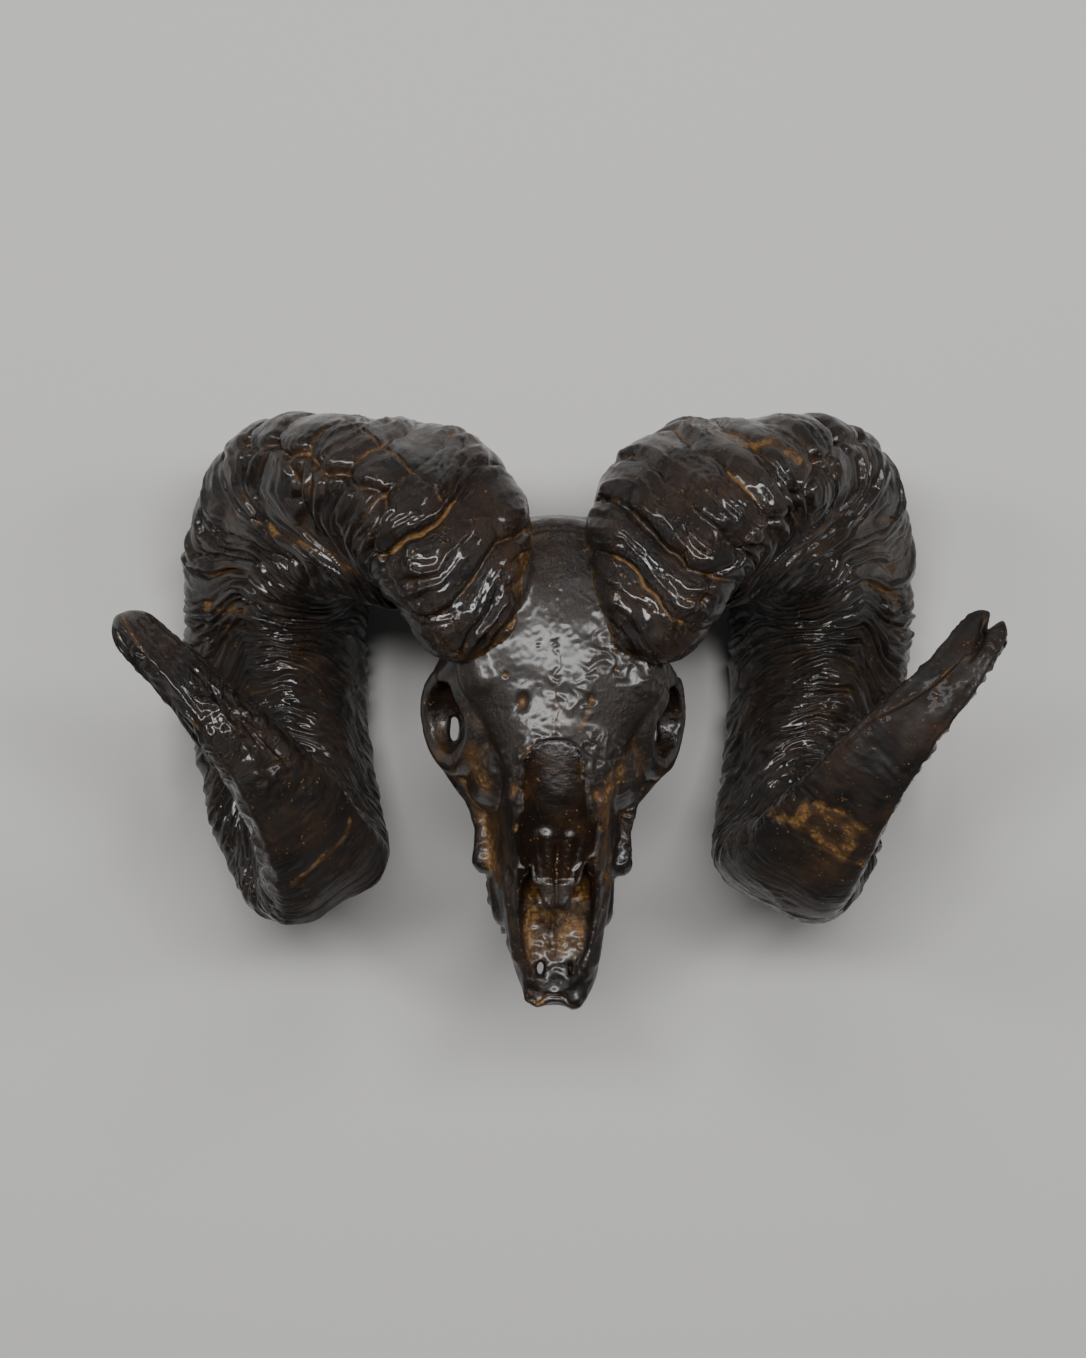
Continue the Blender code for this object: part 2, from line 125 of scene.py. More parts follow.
print("a hill 2 wide is", hill(3, 2).round(3), "at a distance of 3")

# %% [markdown]
# ## The coil of a horn
# A ram's horn is a cone wound on a spiral. Its section is a soft triangle: a broad front
# face, a side face that looks outward, and an inner face, with a keel where the last two
# meet at the back. A curve with a bevel could make a smooth horn, but every growth ring has
# to follow the horn round, so the horn is lofted here from rings of points. Each point is
# known by two numbers, the turn along the coil and the angle round the section, and all
# its relief is written in those two.

# %% Sizes of the coil, in mm, by turn in degrees
COIL_CENTRE_Y = 13.2
COIL_CENTRE_Z = 133
ROOT_DIP = 31
ROOT_SPAN = 51
TRIANGULARITY = 0.12
HORN_START = 13
HORN_END = 382
TIP_ROUND = 6
COIL_REACH_Y = ((13, 100), (60, 101), (140, 101), (225, 102), (270, 97), (300, 92),
                (330, 86), (360, 86), (382, 93))
COIL_REACH_Z = ((13, 91), (105, 92), (150, 97), (175, 93), (200, 90.5), (270, 88), (330, 90),
                (382, 92))
WIDTH = ((13, 44), (28, 71), (45, 92), (60, 103), (120, 104), (180, 101), (240, 87), (270, 73),
         (300, 59), (330, 44), (360, 30), (382, 24))
THICKNESS = ((13, 74), (28, 88), (45, 96), (60, 100), (90, 102), (120, 98), (180, 86),
             (240, 74), (290, 58), (330, 42), (360, 30), (382, 22))
SPREAD = {
    "left": ((13, 48), (28, 54), (45, 62), (60, 76), (90, 118), (135, 150), (165, 153),
             (200, 148), (240, 136), (270, 130), (300, 140), (330, 164), (360, 203), (382, 229.4)),
    "right": ((13, 48), (28, 54), (45, 62), (60, 76), (90, 118), (135, 150), (165, 153),
              (200, 149), (240, 138), (270, 131), (300, 137), (330, 160), (360, 197),
              (382, 231.4)),
}
TWIST = {
    "left": ((13, 8), (60, 6), (90, 4), (150, -12), (190, -18), (240, 8), (270, 26),
             (300, 22), (330, 16), (382, 10)),
    "right": ((13, 8), (60, 6), (90, 4), (150, -12), (190, -18), (240, 8), (270, 32),
              (300, 42), (330, 46), (382, 40)),
}
print("horn from", HORN_START, "to", HORN_END, "degrees of turn")

# %% Points of a plain horn


def coil_point(side, turn):
    """Middle of the horn at a turn, for a horn on the +X side."""
    angle = np.radians(turn)
    sunk = np.maximum(1 - (turn - HORN_START) / ROOT_SPAN, 0)
    return np.stack([eased(SPREAD[side], turn),
                     COIL_CENTRE_Y + eased(COIL_REACH_Y, turn) * np.sin(angle),
                     COIL_CENTRE_Z + eased(COIL_REACH_Z, turn) * np.cos(angle)
                     - ROOT_DIP * sunk**2], axis=-1)


def plain_horn(side, turns, around):
    """Points of the smooth horn. around is 0 on the front face and 90 on the outer side."""
    step = 0.5
    before, here, after = (coil_point(side, turns + d) for d in (-step, 0, step))
    along = after - before
    along /= np.linalg.norm(along, axis=1)[:, None]
    angle = np.radians(turns)
    outward = np.stack([0 * angle, np.sin(angle), np.cos(angle)], axis=1)
    front = outward - (outward * along).sum(axis=1)[:, None] * along
    front /= np.linalg.norm(front, axis=1)[:, None]
    lateral = np.cross(along, front)
    lateral *= np.sign(lateral[:, :1])
    theta = np.radians(around)
    reach = 1 - TRIANGULARITY * np.cos(3 * theta)
    blunt = np.sqrt(1 - np.clip(1 - (HORN_END - turns) / TIP_ROUND, 0, 0.9995)**2)
    f = np.outer(blunt * eased(THICKNESS, turns) / 2, reach * np.cos(theta))
    w = np.outer(blunt * eased(WIDTH, turns) / 2, reach * np.sin(theta))
    twist = np.radians(eased(TWIST[side], turns))[:, None]
    f, w = f * np.cos(twist) + w * np.sin(twist), w * np.cos(twist) - f * np.sin(twist)
    return here[:, None] + f[..., None] * front[:, None] + w[..., None] * lateral[:, None]


print("the left horn's foot is at", coil_point("left", np.array([HORN_START]))[0].round(1))

# %% Directions on the horn's surface


def steps_between(points):
    """Vectors from point to point along the horn and round it."""
    along = np.gradient(points, axis=0)
    around = (np.roll(points, -1, axis=1) - np.roll(points, 1, axis=1)) / 2
    return along, around


def outward_normals(points):
    """Unit normals of a horn's grid of points."""
    along, around = steps_between(points)
    normal = np.cross(along, around)
    normal /= np.maximum(np.linalg.norm(normal, axis=-1), 1e-9)[..., None]
    middle = points.mean(axis=1, keepdims=True)
    return normal * np.sign((normal * (points - middle)).sum(axis=-1).mean())


print("normals come from the steps to the neighbours")

# %% Where the rings and points lie
RINGS_ALONG = 1000
POINTS_ROUND = 320
round_end = TIP_ROUND * (1 - np.sin(np.radians(np.linspace(90, 0, 20, endpoint=False))))
horn_turns = np.append(np.linspace(HORN_START, HORN_END - TIP_ROUND, RINGS_ALONG),
                       HORN_END - round_end[::-1])
horn_turns = np.unique(horn_turns.round(6))
horn_around = np.linspace(-180, 180, POINTS_ROUND, endpoint=False)
print(len(horn_turns), "rings of", POINTS_ROUND, "points")

# %% [markdown]
# ## Growth on a horn
# A horn grows at its foot, in rings. Each year leaves a deep groove and the months between
# leave small ones, so every line on it is a line of equal age. These lines aren't straight
# round the section: they sweep toward the foot across the outer side and pile up in tight
# wrinkles on the keel. One number, the age of a place, carries all of that: it is the turn,
# less the sweep, plus some noise. Rolls and grooves are then plain functions of age. Strands,
# slits and folds are noise drawn out along the lines of equal age. That noise is read on a
# roll, with age along it and the angle round it, so it joins up where the angle starts again.

# %% Age of a place on the horn
FRONT_SWEEP = ((-120, 0), (-90, 4), (-60, 8), (-26, 6), (0, 0), (30, -5), (60, -6), (90, -3),
               (120, 0))
BACK_SWEEP = ((-180, -24), (-160, -18), (-120, -4), (-90, 0), (90, 0), (110, -5), (125, -14),
              (143, -26), (165, -27), (180, -24))
YEARS = {       # age of each deep groove, and how deep it is
    "left": ((13, 0.4), (27, 1.0), (38, 1.4), (49, 0.9), (61, 1.1), (71, 1.1), (82, 1.0),
             (93, 1.0), (104, 0.8), (116, 1.0), (128, 0.8), (140, 1.0), (152, 0.8), (165, 1.0),
             (180, 0.8),
             (196, 0.9), (213, 0.8), (230, 0.7), (246, 0.7), (262, 0.7), (282, 0.5), (305, 1.2),
             (316, 0.7), (337, 0.5), (356, 0.6), (376, 0.3)),
    "right": ((13, 0.4), (30, 1.1), (46, 1.4), (58, 0.7), (69, 1.0), (82, 1.1), (92, 0.8),
              (103, 0.9), (114, 0.8), (126, 1.0), (138, 0.8), (151, 1.0), (165, 0.8), (180, 0.9),
              (195, 0.8), (212, 0.9), (229, 0.7), (245, 0.7), (262, 0.7), (281, 0.6), (300, 1.1),
              (322, 0.6), (338, 0.9), (354, 1.0), (376, 0.3)),
}


def age_of(turn, around, points, seed):
    """Age of each place, in degrees of turn, with the waviness of real growth lines."""
    front = keyed(FRONT_SWEEP, around) * np.clip((260 - turn) / 160, 0, 1)
    back = keyed(BACK_SWEEP, around)
    wave = 2.0 * noise(points, 52, seed) + 1.1 * noise(points, 19, seed + 1)
    return turn - front - back + wave + 0.35 * noise(points, 7, seed + 2)


print(len(YEARS["left"]), "and", len(YEARS["right"]), "deep grooves")

# %% Rolls between the yearly grooves
GROOVE_DEPTH = ((13, 3.4), (60, 3.6), (120, 2.8), (200, 1.9), (260, 1.1), (382, 0.6))


def years_relief(side, age, front, outer, points):
    """Height of the rolls, in mm below the crests, and nearness to a groove."""
    places, strengths = np.array(YEARS[side]).T
    number = np.clip(np.searchsorted(places, age) - 1, 0, len(places) - 2)
    start, end = places[number], places[number + 1]
    share = np.clip((age - start) / (end - start), 0, 1)
    strength = (1 - share) * strengths[number] + share * strengths[number + 1]
    patchy = np.clip(0.85 + 0.6 * noise(points, 55, 11), 0.3, 1.35)
    swell = 1 - np.abs(2 * share**0.8 - 1)**2.2
    depth = eased(GROOVE_DEPTH, np.clip(age, 13, 382)) * (0.3 + 0.7 * front + 0.45 * outer)
    away = np.minimum(age - start, end - age)
    groove = hill(away, 0.55 + 0.4 * outer) * strength * patchy
    groove = groove * np.clip((330 - age) / 60, 0.15, 1)
    return -depth * patchy * strength * (1 - swell) - 1.2 * groove * (0.4 + 0.6 * front), groove


print("grooves:", GROOVE_DEPTH[0][1], "mm deep at the foot,", GROOVE_DEPTH[-1][1], "at the tip")

# %% Strands, slits, folds and wrinkles
KEEL_FOLD = 5.2         # degrees of age from fold to fold on the keel


def growth_place(age, around, length, width):
    """Places on a roll of age, so that noise on it joins up round the horn."""
    theta = np.radians(around)
    radius = math.degrees(1) / length
    return np.stack([age / width, radius * np.cos(theta), radius * np.sin(theta)], axis=-1)


def strands(age, around, length, width, seed):
    """Ridges along the growth lines, length in degrees round and width in degrees of age."""
    place = growth_place(age, around, length, width)
    bent = place + 0.7 * noise(place, 2.3, seed + 5)[..., None]
    return 1 - 2 * np.abs(noise(bent, 1.0, seed))


def slits(age, around, length, width, seed):
    """Narrow cuts between the strands, 1 in a cut and 0 elsewhere."""
    place = growth_place(age, around, length, width)
    bent = place + 0.6 * noise(place, 2.9, seed + 5)[..., None]
    return hill(noise(bent, 1.0, seed), 0.09)


def overlaps(age, around, spacing, seed):
    """Folds that lie on each other like tiles: a sudden rise, then a slow fall."""
    share = np.mod(age / spacing + 1.1 * noise(growth_place(age, around, 42, 9), 1.0, seed), 1)
    return np.clip(share / 0.16, 0, 1) * (1 - share**1.6)


def keel_wrinkles(age, around):
    """Tight folds where the inner side of the coil is squeezed together."""
    shift = 2.8 * noise(growth_place(age, around, 26, 9), 1.0, 31)
    return np.abs(np.sin(math.pi * age / KEEL_FOLD + shift))**0.7 - 1


print("a fold every", KEEL_FOLD, "degrees on the keel")

# %% [markdown]
# ## Marks of these two horns
# Some marks belong to this cast alone: the crease where the rolls end in lobes beside the
# outer side, a long crack over two rolls, ochre bands, the lumps near one tip and the cleft
# in the other. Painting them by hand would tie them to one mesh. Here they are short lines
# of (turn, angle) places, each with a width, a depth and how much ochre it holds, so they
# keep their place however finely the horn is divided.

# %% Marks, by (turn, angle round)
LOBE_CREASE = {"right": ((24, 50), (32, 61), (40, 66), (49, 73), (55, 47), (60, 48), (70, 58),
                         (82, 62), (98, 66)),
               "left": ((24, 40), (33, 50), (38, 55), (46, 64), (54, 74), (68, 77), (80, 71),
                        (90, 60), (102, 60))}
MARKS = {       # line, width in mm, depth in mm, ochre
    "right": [
        (((72, 30), (66, 28), (61, 26), (55, 23), (49, 16), (45, 10)), 1.2, 1.4, 0.75),
        (((98, 118), (88, 125), (78, 125), (67, 127), (54, 124)), 3.2, 0.8, 0.9),
        (((96, 57), (97, 73), (99, 92), (97, 114), (84, 125)), 1.4, 1.1, 0.5),
        (((138, 106), (130, 124), (120, 142)), 2.0, 1.0, 0.6),
        (((151, 105), (148, 124), (142, 142), (125, 167)), 2.4, 1.4, 0.8),
        (((160, 109), (157, 127), (153, 145), (134, 171)), 2.0, 1.2, 0.5),
        (((355, 44), (351, 22), (348, 0), (344, -20)), 2.6, -1.0, 0.0),
        (((345, 22), (340, 5)), 3.4, -1.2, 0.0),
        (((336, -6), (330, -10)), 3.2, -1.0, 0.2),
        (((302, -44), (300, -25), (300, 0), (299, 25), (298, 49)), 1.1, 0.8, 0.85),
        (((382, 30), (377, 52), (366, 66), (350, 70)), 1.5, 0.4, 0.7),
        (((380, -50), (366, -46), (352, -44)), 1.3, 0.6, 0.6),
    ],
    "left": [
        (((69, 0), (66, 28), (70, 46), (72, 60)), 3.0, 0.9, 1.0),
        (((72, -30), (70, -12), (69, 0)), 2.2, 0.8, 0.8),
        (((58, 50), (58, 62), (55, 70), (46, 64)), 1.6, -1.3, 0.0),
        (((41, 25), (39, 36), (37, 45)), 1.8, -1.2, 0.0),
        (((100, 92), (86, 112), (66, 124), (50, 122)), 1.6, 1.0, 0.6),
        (((118, 96), (104, 116), (86, 126), (62, 132)), 1.6, 1.0, 0.4),
        (((150, 96), (140, 120), (126, 140)), 2.2, 1.2, 0.7),
        (((371, 32), (367, 1), (358, -12), (350, -28), (341, -50), (333, -50)), 1.3, -1.1, 0.0),
        (((371, 24), (364, -8), (355, -20), (347, -38), (339, -56)), 0.8, 0.7, 0.6),
        (((303, -73), (308, -42), (308, -10), (307, 19), (305, 60)), 2.0, 0.9, 1.1),
        (((312, -44), (313, 0), (311, 36)), 4.6, 0.3, 1.0),
        (((316, -36), (318, 12), (316, 51)), 1.6, 0.8, 0.9),
    ],
}
TIP_CLEFT = {"left": ((383, -30), (377, 2), (370, 16))}
CLEFT_DEPTH = 5.0
DULL_FACE = {"left": (285, 390), "right": (268, 326)}       # smooth dark part of the front face
KNOBS = {"right": (326, 362)}                               # knobbly part of the front face
print({side: len(marks) for side, marks in MARKS.items()}, "marks")

# %% Relief of the front and side faces


def near_tip(turn):
    """0 on the coil and 1 along the last turns, where the horn is smooth."""
    return np.clip((turn - 250) / 50, 0, 1)


def front_relief(turn, angle, age, points, seed):
    """Crumpled strands of the front face, weaker toward the tip."""
    patch = np.clip(0.6 + 1.1 * noise(points, 30, seed + 20), 0.1, 1.2)
    bent = points + 2.5 * noise(points, 9, seed + 14)[..., None]
    crumple = 1 - 2 * np.abs(noise(bent, 6.5, seed + 13))
    height = (1.9 * strands(age, angle, 66, 4.0, seed + 30)
              + 0.8 * strands(age, angle, 44, 1.7, seed + 31) + 0.35 * crumple)
    return height * patch * (1 - 0.75 * near_tip(turn)) - 2.4 * hill(turn - 32, 10)


def side_relief(turn, angle, age, points, outer, inner, seed):
    """Overlapping folds of the outer side, and strands and slits of both sides."""
    either = np.maximum(outer, 0.8 * inner)
    folded = np.clip(0.8 + 0.9 * noise(points, 45, seed + 21), 0.2, 1.4)
    combed = np.clip(0.4 + 1.2 * noise(points, 34, seed + 23), 0.05, 1.2)
    folds = (overlaps(age, angle, 6.6, seed + 22) - 0.6) * folded * between(turn, 40, 250, 40)
    fine = (0.55 * strands(age, angle, 40, 2.4, seed + 33)
            + 0.12 * strands(age, angle, 30, 0.9, seed + 34))
    cuts = slits(age, angle, 30, 3.2, seed + 35)
    cuts = cuts * (1.4 * combed + 1.2 * between(turn, 200, 290, 40))
    return (3.8 * outer * folds
            + either * (2.0 * strands(age, angle, 42, 5.6, seed + 32) + combed * fine - cuts))


print("a turn of 275 counts as near the tip by", near_tip(275))

# %% Relief of the keel and the tip


def keel_relief(turn, angle, age, points, seed):
    """Bold wrinkles where the coil is tight."""
    keel = hill(180 - np.abs(angle), 24) * between(turn, 75, 275, 60)
    bold = np.clip(0.8 + 0.8 * noise(points, 18, seed + 24), 0.3, 1.4)
    return keel, 3.0 * keel * keel_wrinkles(age, angle) * bold


def tip_relief(side, turn, angle, age, front, seed):
    """Raised edges and a hollow front face near the tip, with knobs or a cleft."""
    edge = hill(angle - 60, 8) + hill(angle + 57, 8)
    relief = (1.3 * edge - 1.0 * hill(angle, 34)) * near_tip(turn)
    if side in KNOBS:
        knobs = front * between(turn, *KNOBS[side], 16) * between(angle, -50, 40, 30)
        relief += 1.5 * knobs * np.maximum(strands(age, angle, 30, 5.5, seed + 41), -0.3)
    if side in TIP_CLEFT:
        squeezed = 0.3
        line = [(a * squeezed, t) for t, a in TIP_CLEFT[side]]
        away = off_line(angle * squeezed, turn, line)
        relief -= CLEFT_DEPTH * hill(away, 2.4) * between(turn, 368, 400, 8)
    return relief


print("knobs on the", *KNOBS, "horn and a cleft in the", *TIP_CLEFT, "one")

# %% Creases and marks
DEGREE_ROUND = 0.9      # a degree round counts for this many degrees of turn beside a mark


def lobe_relief(side, turn, angle, age, points, per_degree, seed):
    """The crease beside the outer side, where the rolls end in lobes, and nearness to it."""
    places = np.array(YEARS[side])[:, 0]
    number = np.clip(np.searchsorted(places, age) - 1, 0, len(places) - 2)
    share = np.clip((age - places[number]) / (places[number + 1] - places[number]), 0, 1)
    reach = keyed(LOBE_CREASE[side], age) + 7 * np.sin(math.pi * share) - 3
    crease = (angle - reach) * per_degree
    lobes = between(turn, 24, 104, 20)
    depth = 3.4 * hill(crease, 2.8) * (0.85 + 0.4 * noise(points, 22, seed + 9))
    return lobes * (1.0 * hill(crease + 7.5, 4.5) - depth), lobes * hill(crease, 1.6)


def marks_relief(side, turn, angle, points, per_turn, per_degree, seed):
    """The marks of this cast alone, and the ochre in them."""
    relief, ochre = np.zeros(turn.shape), np.zeros(turn.shape)
    broken = np.clip(0.45 + 1.5 * noise(points, 9, seed + 40), 0, 1)
    wobble = 1.1 * noise(points, 10, seed + 10)
    scale = 0.5 * (per_degree / DEGREE_ROUND + per_turn)
    for line, width, depth, gold in MARKS[side]:
        places = [(a * DEGREE_ROUND, t) for t, a in line]
        away = off_line(angle * DEGREE_ROUND, turn, places) * scale + wobble
        relief -= depth * hill(away, width)
        ochre = np.maximum(ochre, gold * hill(away, width * 1.3) * (0.25 + 0.75 * broken))
    return relief, ochre


print("widest mark:", max(width for _, width, _, _ in MARKS["left"]), "mm")

# %% All the relief of one horn
PLAIN_DEPTH = 1.4       # mm, how far the whole surface lies below the plain horn
SEEDS = {"left": 3, "right": 8}         # each horn has noise of its own


def horn_relief(side, turns, around, points):
    """Relief in mm along the normal, and the ochre, the greyness and the age of each place."""
    turn, angle = np.meshgrid(turns, around, indexing="ij")
    seed = SEEDS[side]
    along, across = steps_between(points)
    per_turn = np.linalg.norm(along, axis=-1) / np.gradient(turns)[:, None]
    per_degree = np.linalg.norm(across, axis=-1) * len(around) / 360
    front = between(angle, -62, 66, 26)
    outer = between(angle, 66, 165, 26)
    inner = between(angle, -166, -62, 26)

    age = age_of(turn, angle, points, seed)
    relief, groove = years_relief(side, age, front, outer, points)
    relief += front * front_relief(turn, angle, age, points, seed)
    relief += side_relief(turn, angle, age, points, outer, inner, seed)
    keel, wrinkles = keel_relief(turn, angle, age, points, seed)
    lobes, in_crease = lobe_relief(side, turn, angle, age, points, per_degree, seed)
    marks, in_marks = marks_relief(side, turn, angle, points, per_turn, per_degree, seed)
    relief += wrinkles + lobes + marks
    lumps = 0.9 * noise(points, 26, seed + 6) + 0.5 * noise(points, 12, seed + 7)
    relief += lumps * (1 - 0.4 * near_tip(turn)) + 0.1 * noise(points, 3, seed + 8)
    relief += tip_relief(side, turn, angle, age, front, seed)
    relief -= 3.0 * np.clip((17 - turn) / 4, 0, 1)**2

    dusty = np.clip(0.15 + 1.7 * noise(points, 36, seed + 12), 0, 1)
    ochre = groove**2 * dusty * (0.25 + 0.6 * between(age, 20, 82, 16) * front)
    ochre = np.maximum(ochre + 0.2 * in_crease * dusty, in_marks)
    # grey is painted sheen: a lighter grey brown on the outer and inner sides and on the keel.
    # Below 0 the dull part of the front face has almost no coat and is rougher.
    grey = np.clip(0.9 * outer + 0.9 * inner + 0.5 * keel, 0, 1)
    grey -= 1.6 * front * between(turn, *DULL_FACE[side], 30)
    fade = np.clip((HORN_END - turn) / 5, 0.15, 1)
    return (relief - PLAIN_DEPTH) * fade, np.clip(ochre, 0, 1), grey, age


print("seeds:", SEEDS)

# %% The cleft in one tip
CLEFT_LENGTH = 9.0


def cloven(side, points):
    """Points of a horn with its end split in two lobes, if that side's tip is cloven."""
    if side not in TIP_CLEFT:
        return points
    end = points[-1].mean(axis=0)
    along = end - points[-60].mean(axis=0)
    along /= np.linalg.norm(along)
    across = np.cross(along, (0, 0, 1))
    across /= np.linalg.norm(across)
    behind = (end - points) @ along
    beside = (points - end) @ across + 0.12 * behind
    near = np.linalg.norm(points - end, axis=-1) < 40
    pull = CLEFT_LENGTH * hill(beside, 2.3) * np.clip(1 - behind / 16, 0, 1) * near
    return points - pull[..., None] * along


print("the cleft is", CLEFT_LENGTH, "mm long")

# %% [markdown]
# ## From points to a mesh
# A grid of points becomes quads, and the values of each place go along as attributes of the
# mesh's points. An attribute is a number for every point that a material can read, which
# keeps the patina in step with the relief. The hollow attribute is how far a place lies
# below the average of its surroundings, which is where wax and dirt stay.

# %% Hollows of a grid
FULL_HOLLOW = 0.9


def blurred(grid, steps):
    """A grid averaged with its neighbours; it joins up round the horn but not along it."""
    for _ in range(steps):
        grid = (grid + np.roll(grid, 1, axis=1) + np.roll(grid, -1, axis=1)) / 3
        wide = np.concatenate([grid[:1], grid, grid[-1:]])
        grid = (wide[:-2] + wide[1:-1] + wide[2:]) / 3
    return grid


def scaled_hollow(depth):
    """A recess of FULL_HOLLOW mm counts as 1; crests go down to -0.5."""
    return np.clip(depth / FULL_HOLLOW, -0.5, 1)


print("a recess 0.45 mm deep counts as", scaled_hollow(0.45))

# %% Meshes from grids


def new_mesh(name, points, loops, starts, attributes, finish):
    """An object from points in metres and faces as runs of point numbers."""
    mesh = bpy.data.meshes.new(name)
    mesh.vertices.add(len(points))
    mesh.vertices.foreach_set("co", np.asarray(points, np.float32).ravel())
    mesh.loops.add(len(loops))
    mesh.loops.foreach_set("vertex_index", np.asarray(loops, np.int32))
    mesh.polygons.add(len(starts))
    mesh.polygons.foreach_set("loop_start", np.asarray(starts, np.int32))
    mesh.update(calc_edges=True)
    mesh.validate()
    mesh.shade_smooth()
    return dress(bpy.data.objects.new(name, mesh), attributes, finish)


def dress(obj, attributes, finish):
    """Links an object, with values for its points and its material."""
    for name, values in attributes.items():
        layer = obj.data.attributes.new(name, "FLOAT", "POINT")
        layer.data.foreach_set("value", np.asarray(values, np.float32).ravel())
    obj.data.materials.clear()
    obj.data.materials.append(finish)
    if obj.name not in bpy.context.scene.collection.objects:
        bpy.context.scene.collection.objects.link(obj)
    return obj


def grid_faces(rows, columns, turned=False):
    """Quads over a grid that joins up round, and one face over each end."""
    number = np.arange(rows * columns).reshape(rows, columns)
    if turned:
        number = number[:, ::-1]
    a, b = number[:-1], number[1:]
    quads = np.stack([np.roll(a, -1, axis=1), a, b, np.roll(b, -1, axis=1)], axis=-1)
    loops = np.concatenate([quads.ravel(), number[0], number[-1][::-1]])
    starts = np.append(np.arange(quads.size // 4) * 4, [quads.size, quads.size + columns])
    return loops, starts


print("a small grid has", len(grid_faces(4, 6)[1]), "faces")

# %% [markdown]
# ## Shaders written as sums
# The patina adds, scales and clips many masks. Linking Math nodes by hand hides what is
# worked out, so one small class wraps a socket and gives it Python's operators: 1 - mask
# adds the right node by itself. Colours go through Mix nodes, because a Math node turns a
# colour grey. Any other node comes from one method that sets its settings first and then
# its sockets.

# %% Wires


class Wire:
    """A socket that gives a value, on which sums are written as in Python."""

    def __init__(self, finish, socket):
        self.finish = finish
        self.socket = socket

    def calc(self, operation, a, b):
        return self.finish.node("Math", {"operation": operation}, {0: a, 1: b})

    def __add__(self, other):
        return self.calc("ADD", self, other)

    def __sub__(self, other):
        return self.calc("SUBTRACT", self, other)

    def __rsub__(self, other):
        return self.calc("SUBTRACT", other, self)

    def __mul__(self, other):
        return self.calc("MULTIPLY", self, other)

    __radd__ = __add__
    __rmul__ = __mul__

    def clipped(self):
        """The same value, kept from 0 to 1."""
        return self.finish.node("Clamp", {}, {0: self})


print("wires know +, - and *, also with a number on their left")

# %% Finishes


class Finish:
    """A material, with one way to add any node."""

    def __init__(self, name):
        self.material = bpy.data.materials.new(name)
        self.material.use_nodes = True
        self.tree = self.material.node_tree
        self.shader = self.tree.nodes["Principled BSDF"]

    def node(self, kind, settings, inputs, output=0):
        """A new node's output. Settings come first, then values or wires for its sockets."""
        node = self.tree.nodes.new("ShaderNode" + kind)
        for name, value in settings.items():
            setattr(node, name, value)
        for key, value in inputs.items():
            self.plug(value, node.inputs[key])
        return Wire(self, node.outputs[output])

    def plug(self, value, socket):
        if isinstance(value, Wire):
            self.tree.links.new(value.socket, socket)
        else:
            socket.default_value = value

    def feed(self, **inputs):
        """Values or wires for the shader itself; an underscore stands for a space."""
        for name, value in inputs.items():
            self.plug(value, self.shader.inputs[name.replace("_", " ")])

    def mixed(self, factor, low, high):
        """A colour between two colours."""
        return self.node("Mix", {"data_type": "RGBA"}, {0: factor, 6: low, 7: high}, 2)

    def stored(self, name):
        """A value kept on the mesh's points."""
        return self.node("Attribute", {"attribute_name": name}, {}, "Fac")

    def grain(self, where, size, detail=4, roughness=0.55):
        """Noise whose lumps are about size mm."""
        return self.node("TexNoise", {}, {"Vector": where, "Scale": 1000 / size,
                                          "Detail": detail, "Roughness": roughness})


print("a finish can be mixed, can read stored values and can have grain")

# %% [markdown]
# ## Patinated bronze
# Bronze is browned with acid and heat, then waxed or lacquered. What shows is nearly black
# brown under a thin clear gloss, so it is a dark base with a coat and only a little bare
# metal. Ochre is left in the recesses, where brush and cloth didn't reach. The ochre
# attribute says where the marks hold it, the hollow attribute finds every other recess, and
# noise breaks both into crumbs. A thin film of the same ochre lies over whole stretches, and
# fine pale gold specks lie over the rest, partly specks of ochre and partly painted glints.
# Painted maps would need the shapes unwrapped first. Above 0 the grey attribute is painted
# sheen, a lighter grey brown mostly on the sides and keels of the horns and on the forehead.
# Below 0 it marks a few smooth faces, such as the plate over the nose, which have almost no
# crumbs or coat.

# %% Colour of the patina
BLACK_BROWN = (0.0060, 0.0038, 0.0025, 1)
WARM_BROWN = (0.0250, 0.0110, 0.0045, 1)
SHEEN_GREY_BROWN = (0.0200, 0.0160, 0.0130, 1)
WASH_OCHRE = (0.0800, 0.0380, 0.0110, 1)
DARK_OCHRE = (0.0900, 0.0420, 0.0110, 1)
PALE_OCHRE = (0.3200, 0.1850, 0.0620, 1)


def specks(finish, where):
    """1 in small irregular specks, which come in loose swarms."""
    wobble = finish.node("TexNoise", {}, {"Vector": where, "Scale": 900, "Detail": 2}, "Color")
    shaken = finish.node("VectorMath", {"operation": "MULTIPLY_ADD"},
                         {0: wobble, 1: (0.0016, 0.0016, 0.0016), 2: where})
    middle = finish.node("TexVoronoi", {}, {"Vector": shaken, "Scale": 460}, "Distance")
    swarm = finish.grain(where, 6, 3)
    return (((swarm - 0.44) * 1.35 - middle) * 12).clipped()


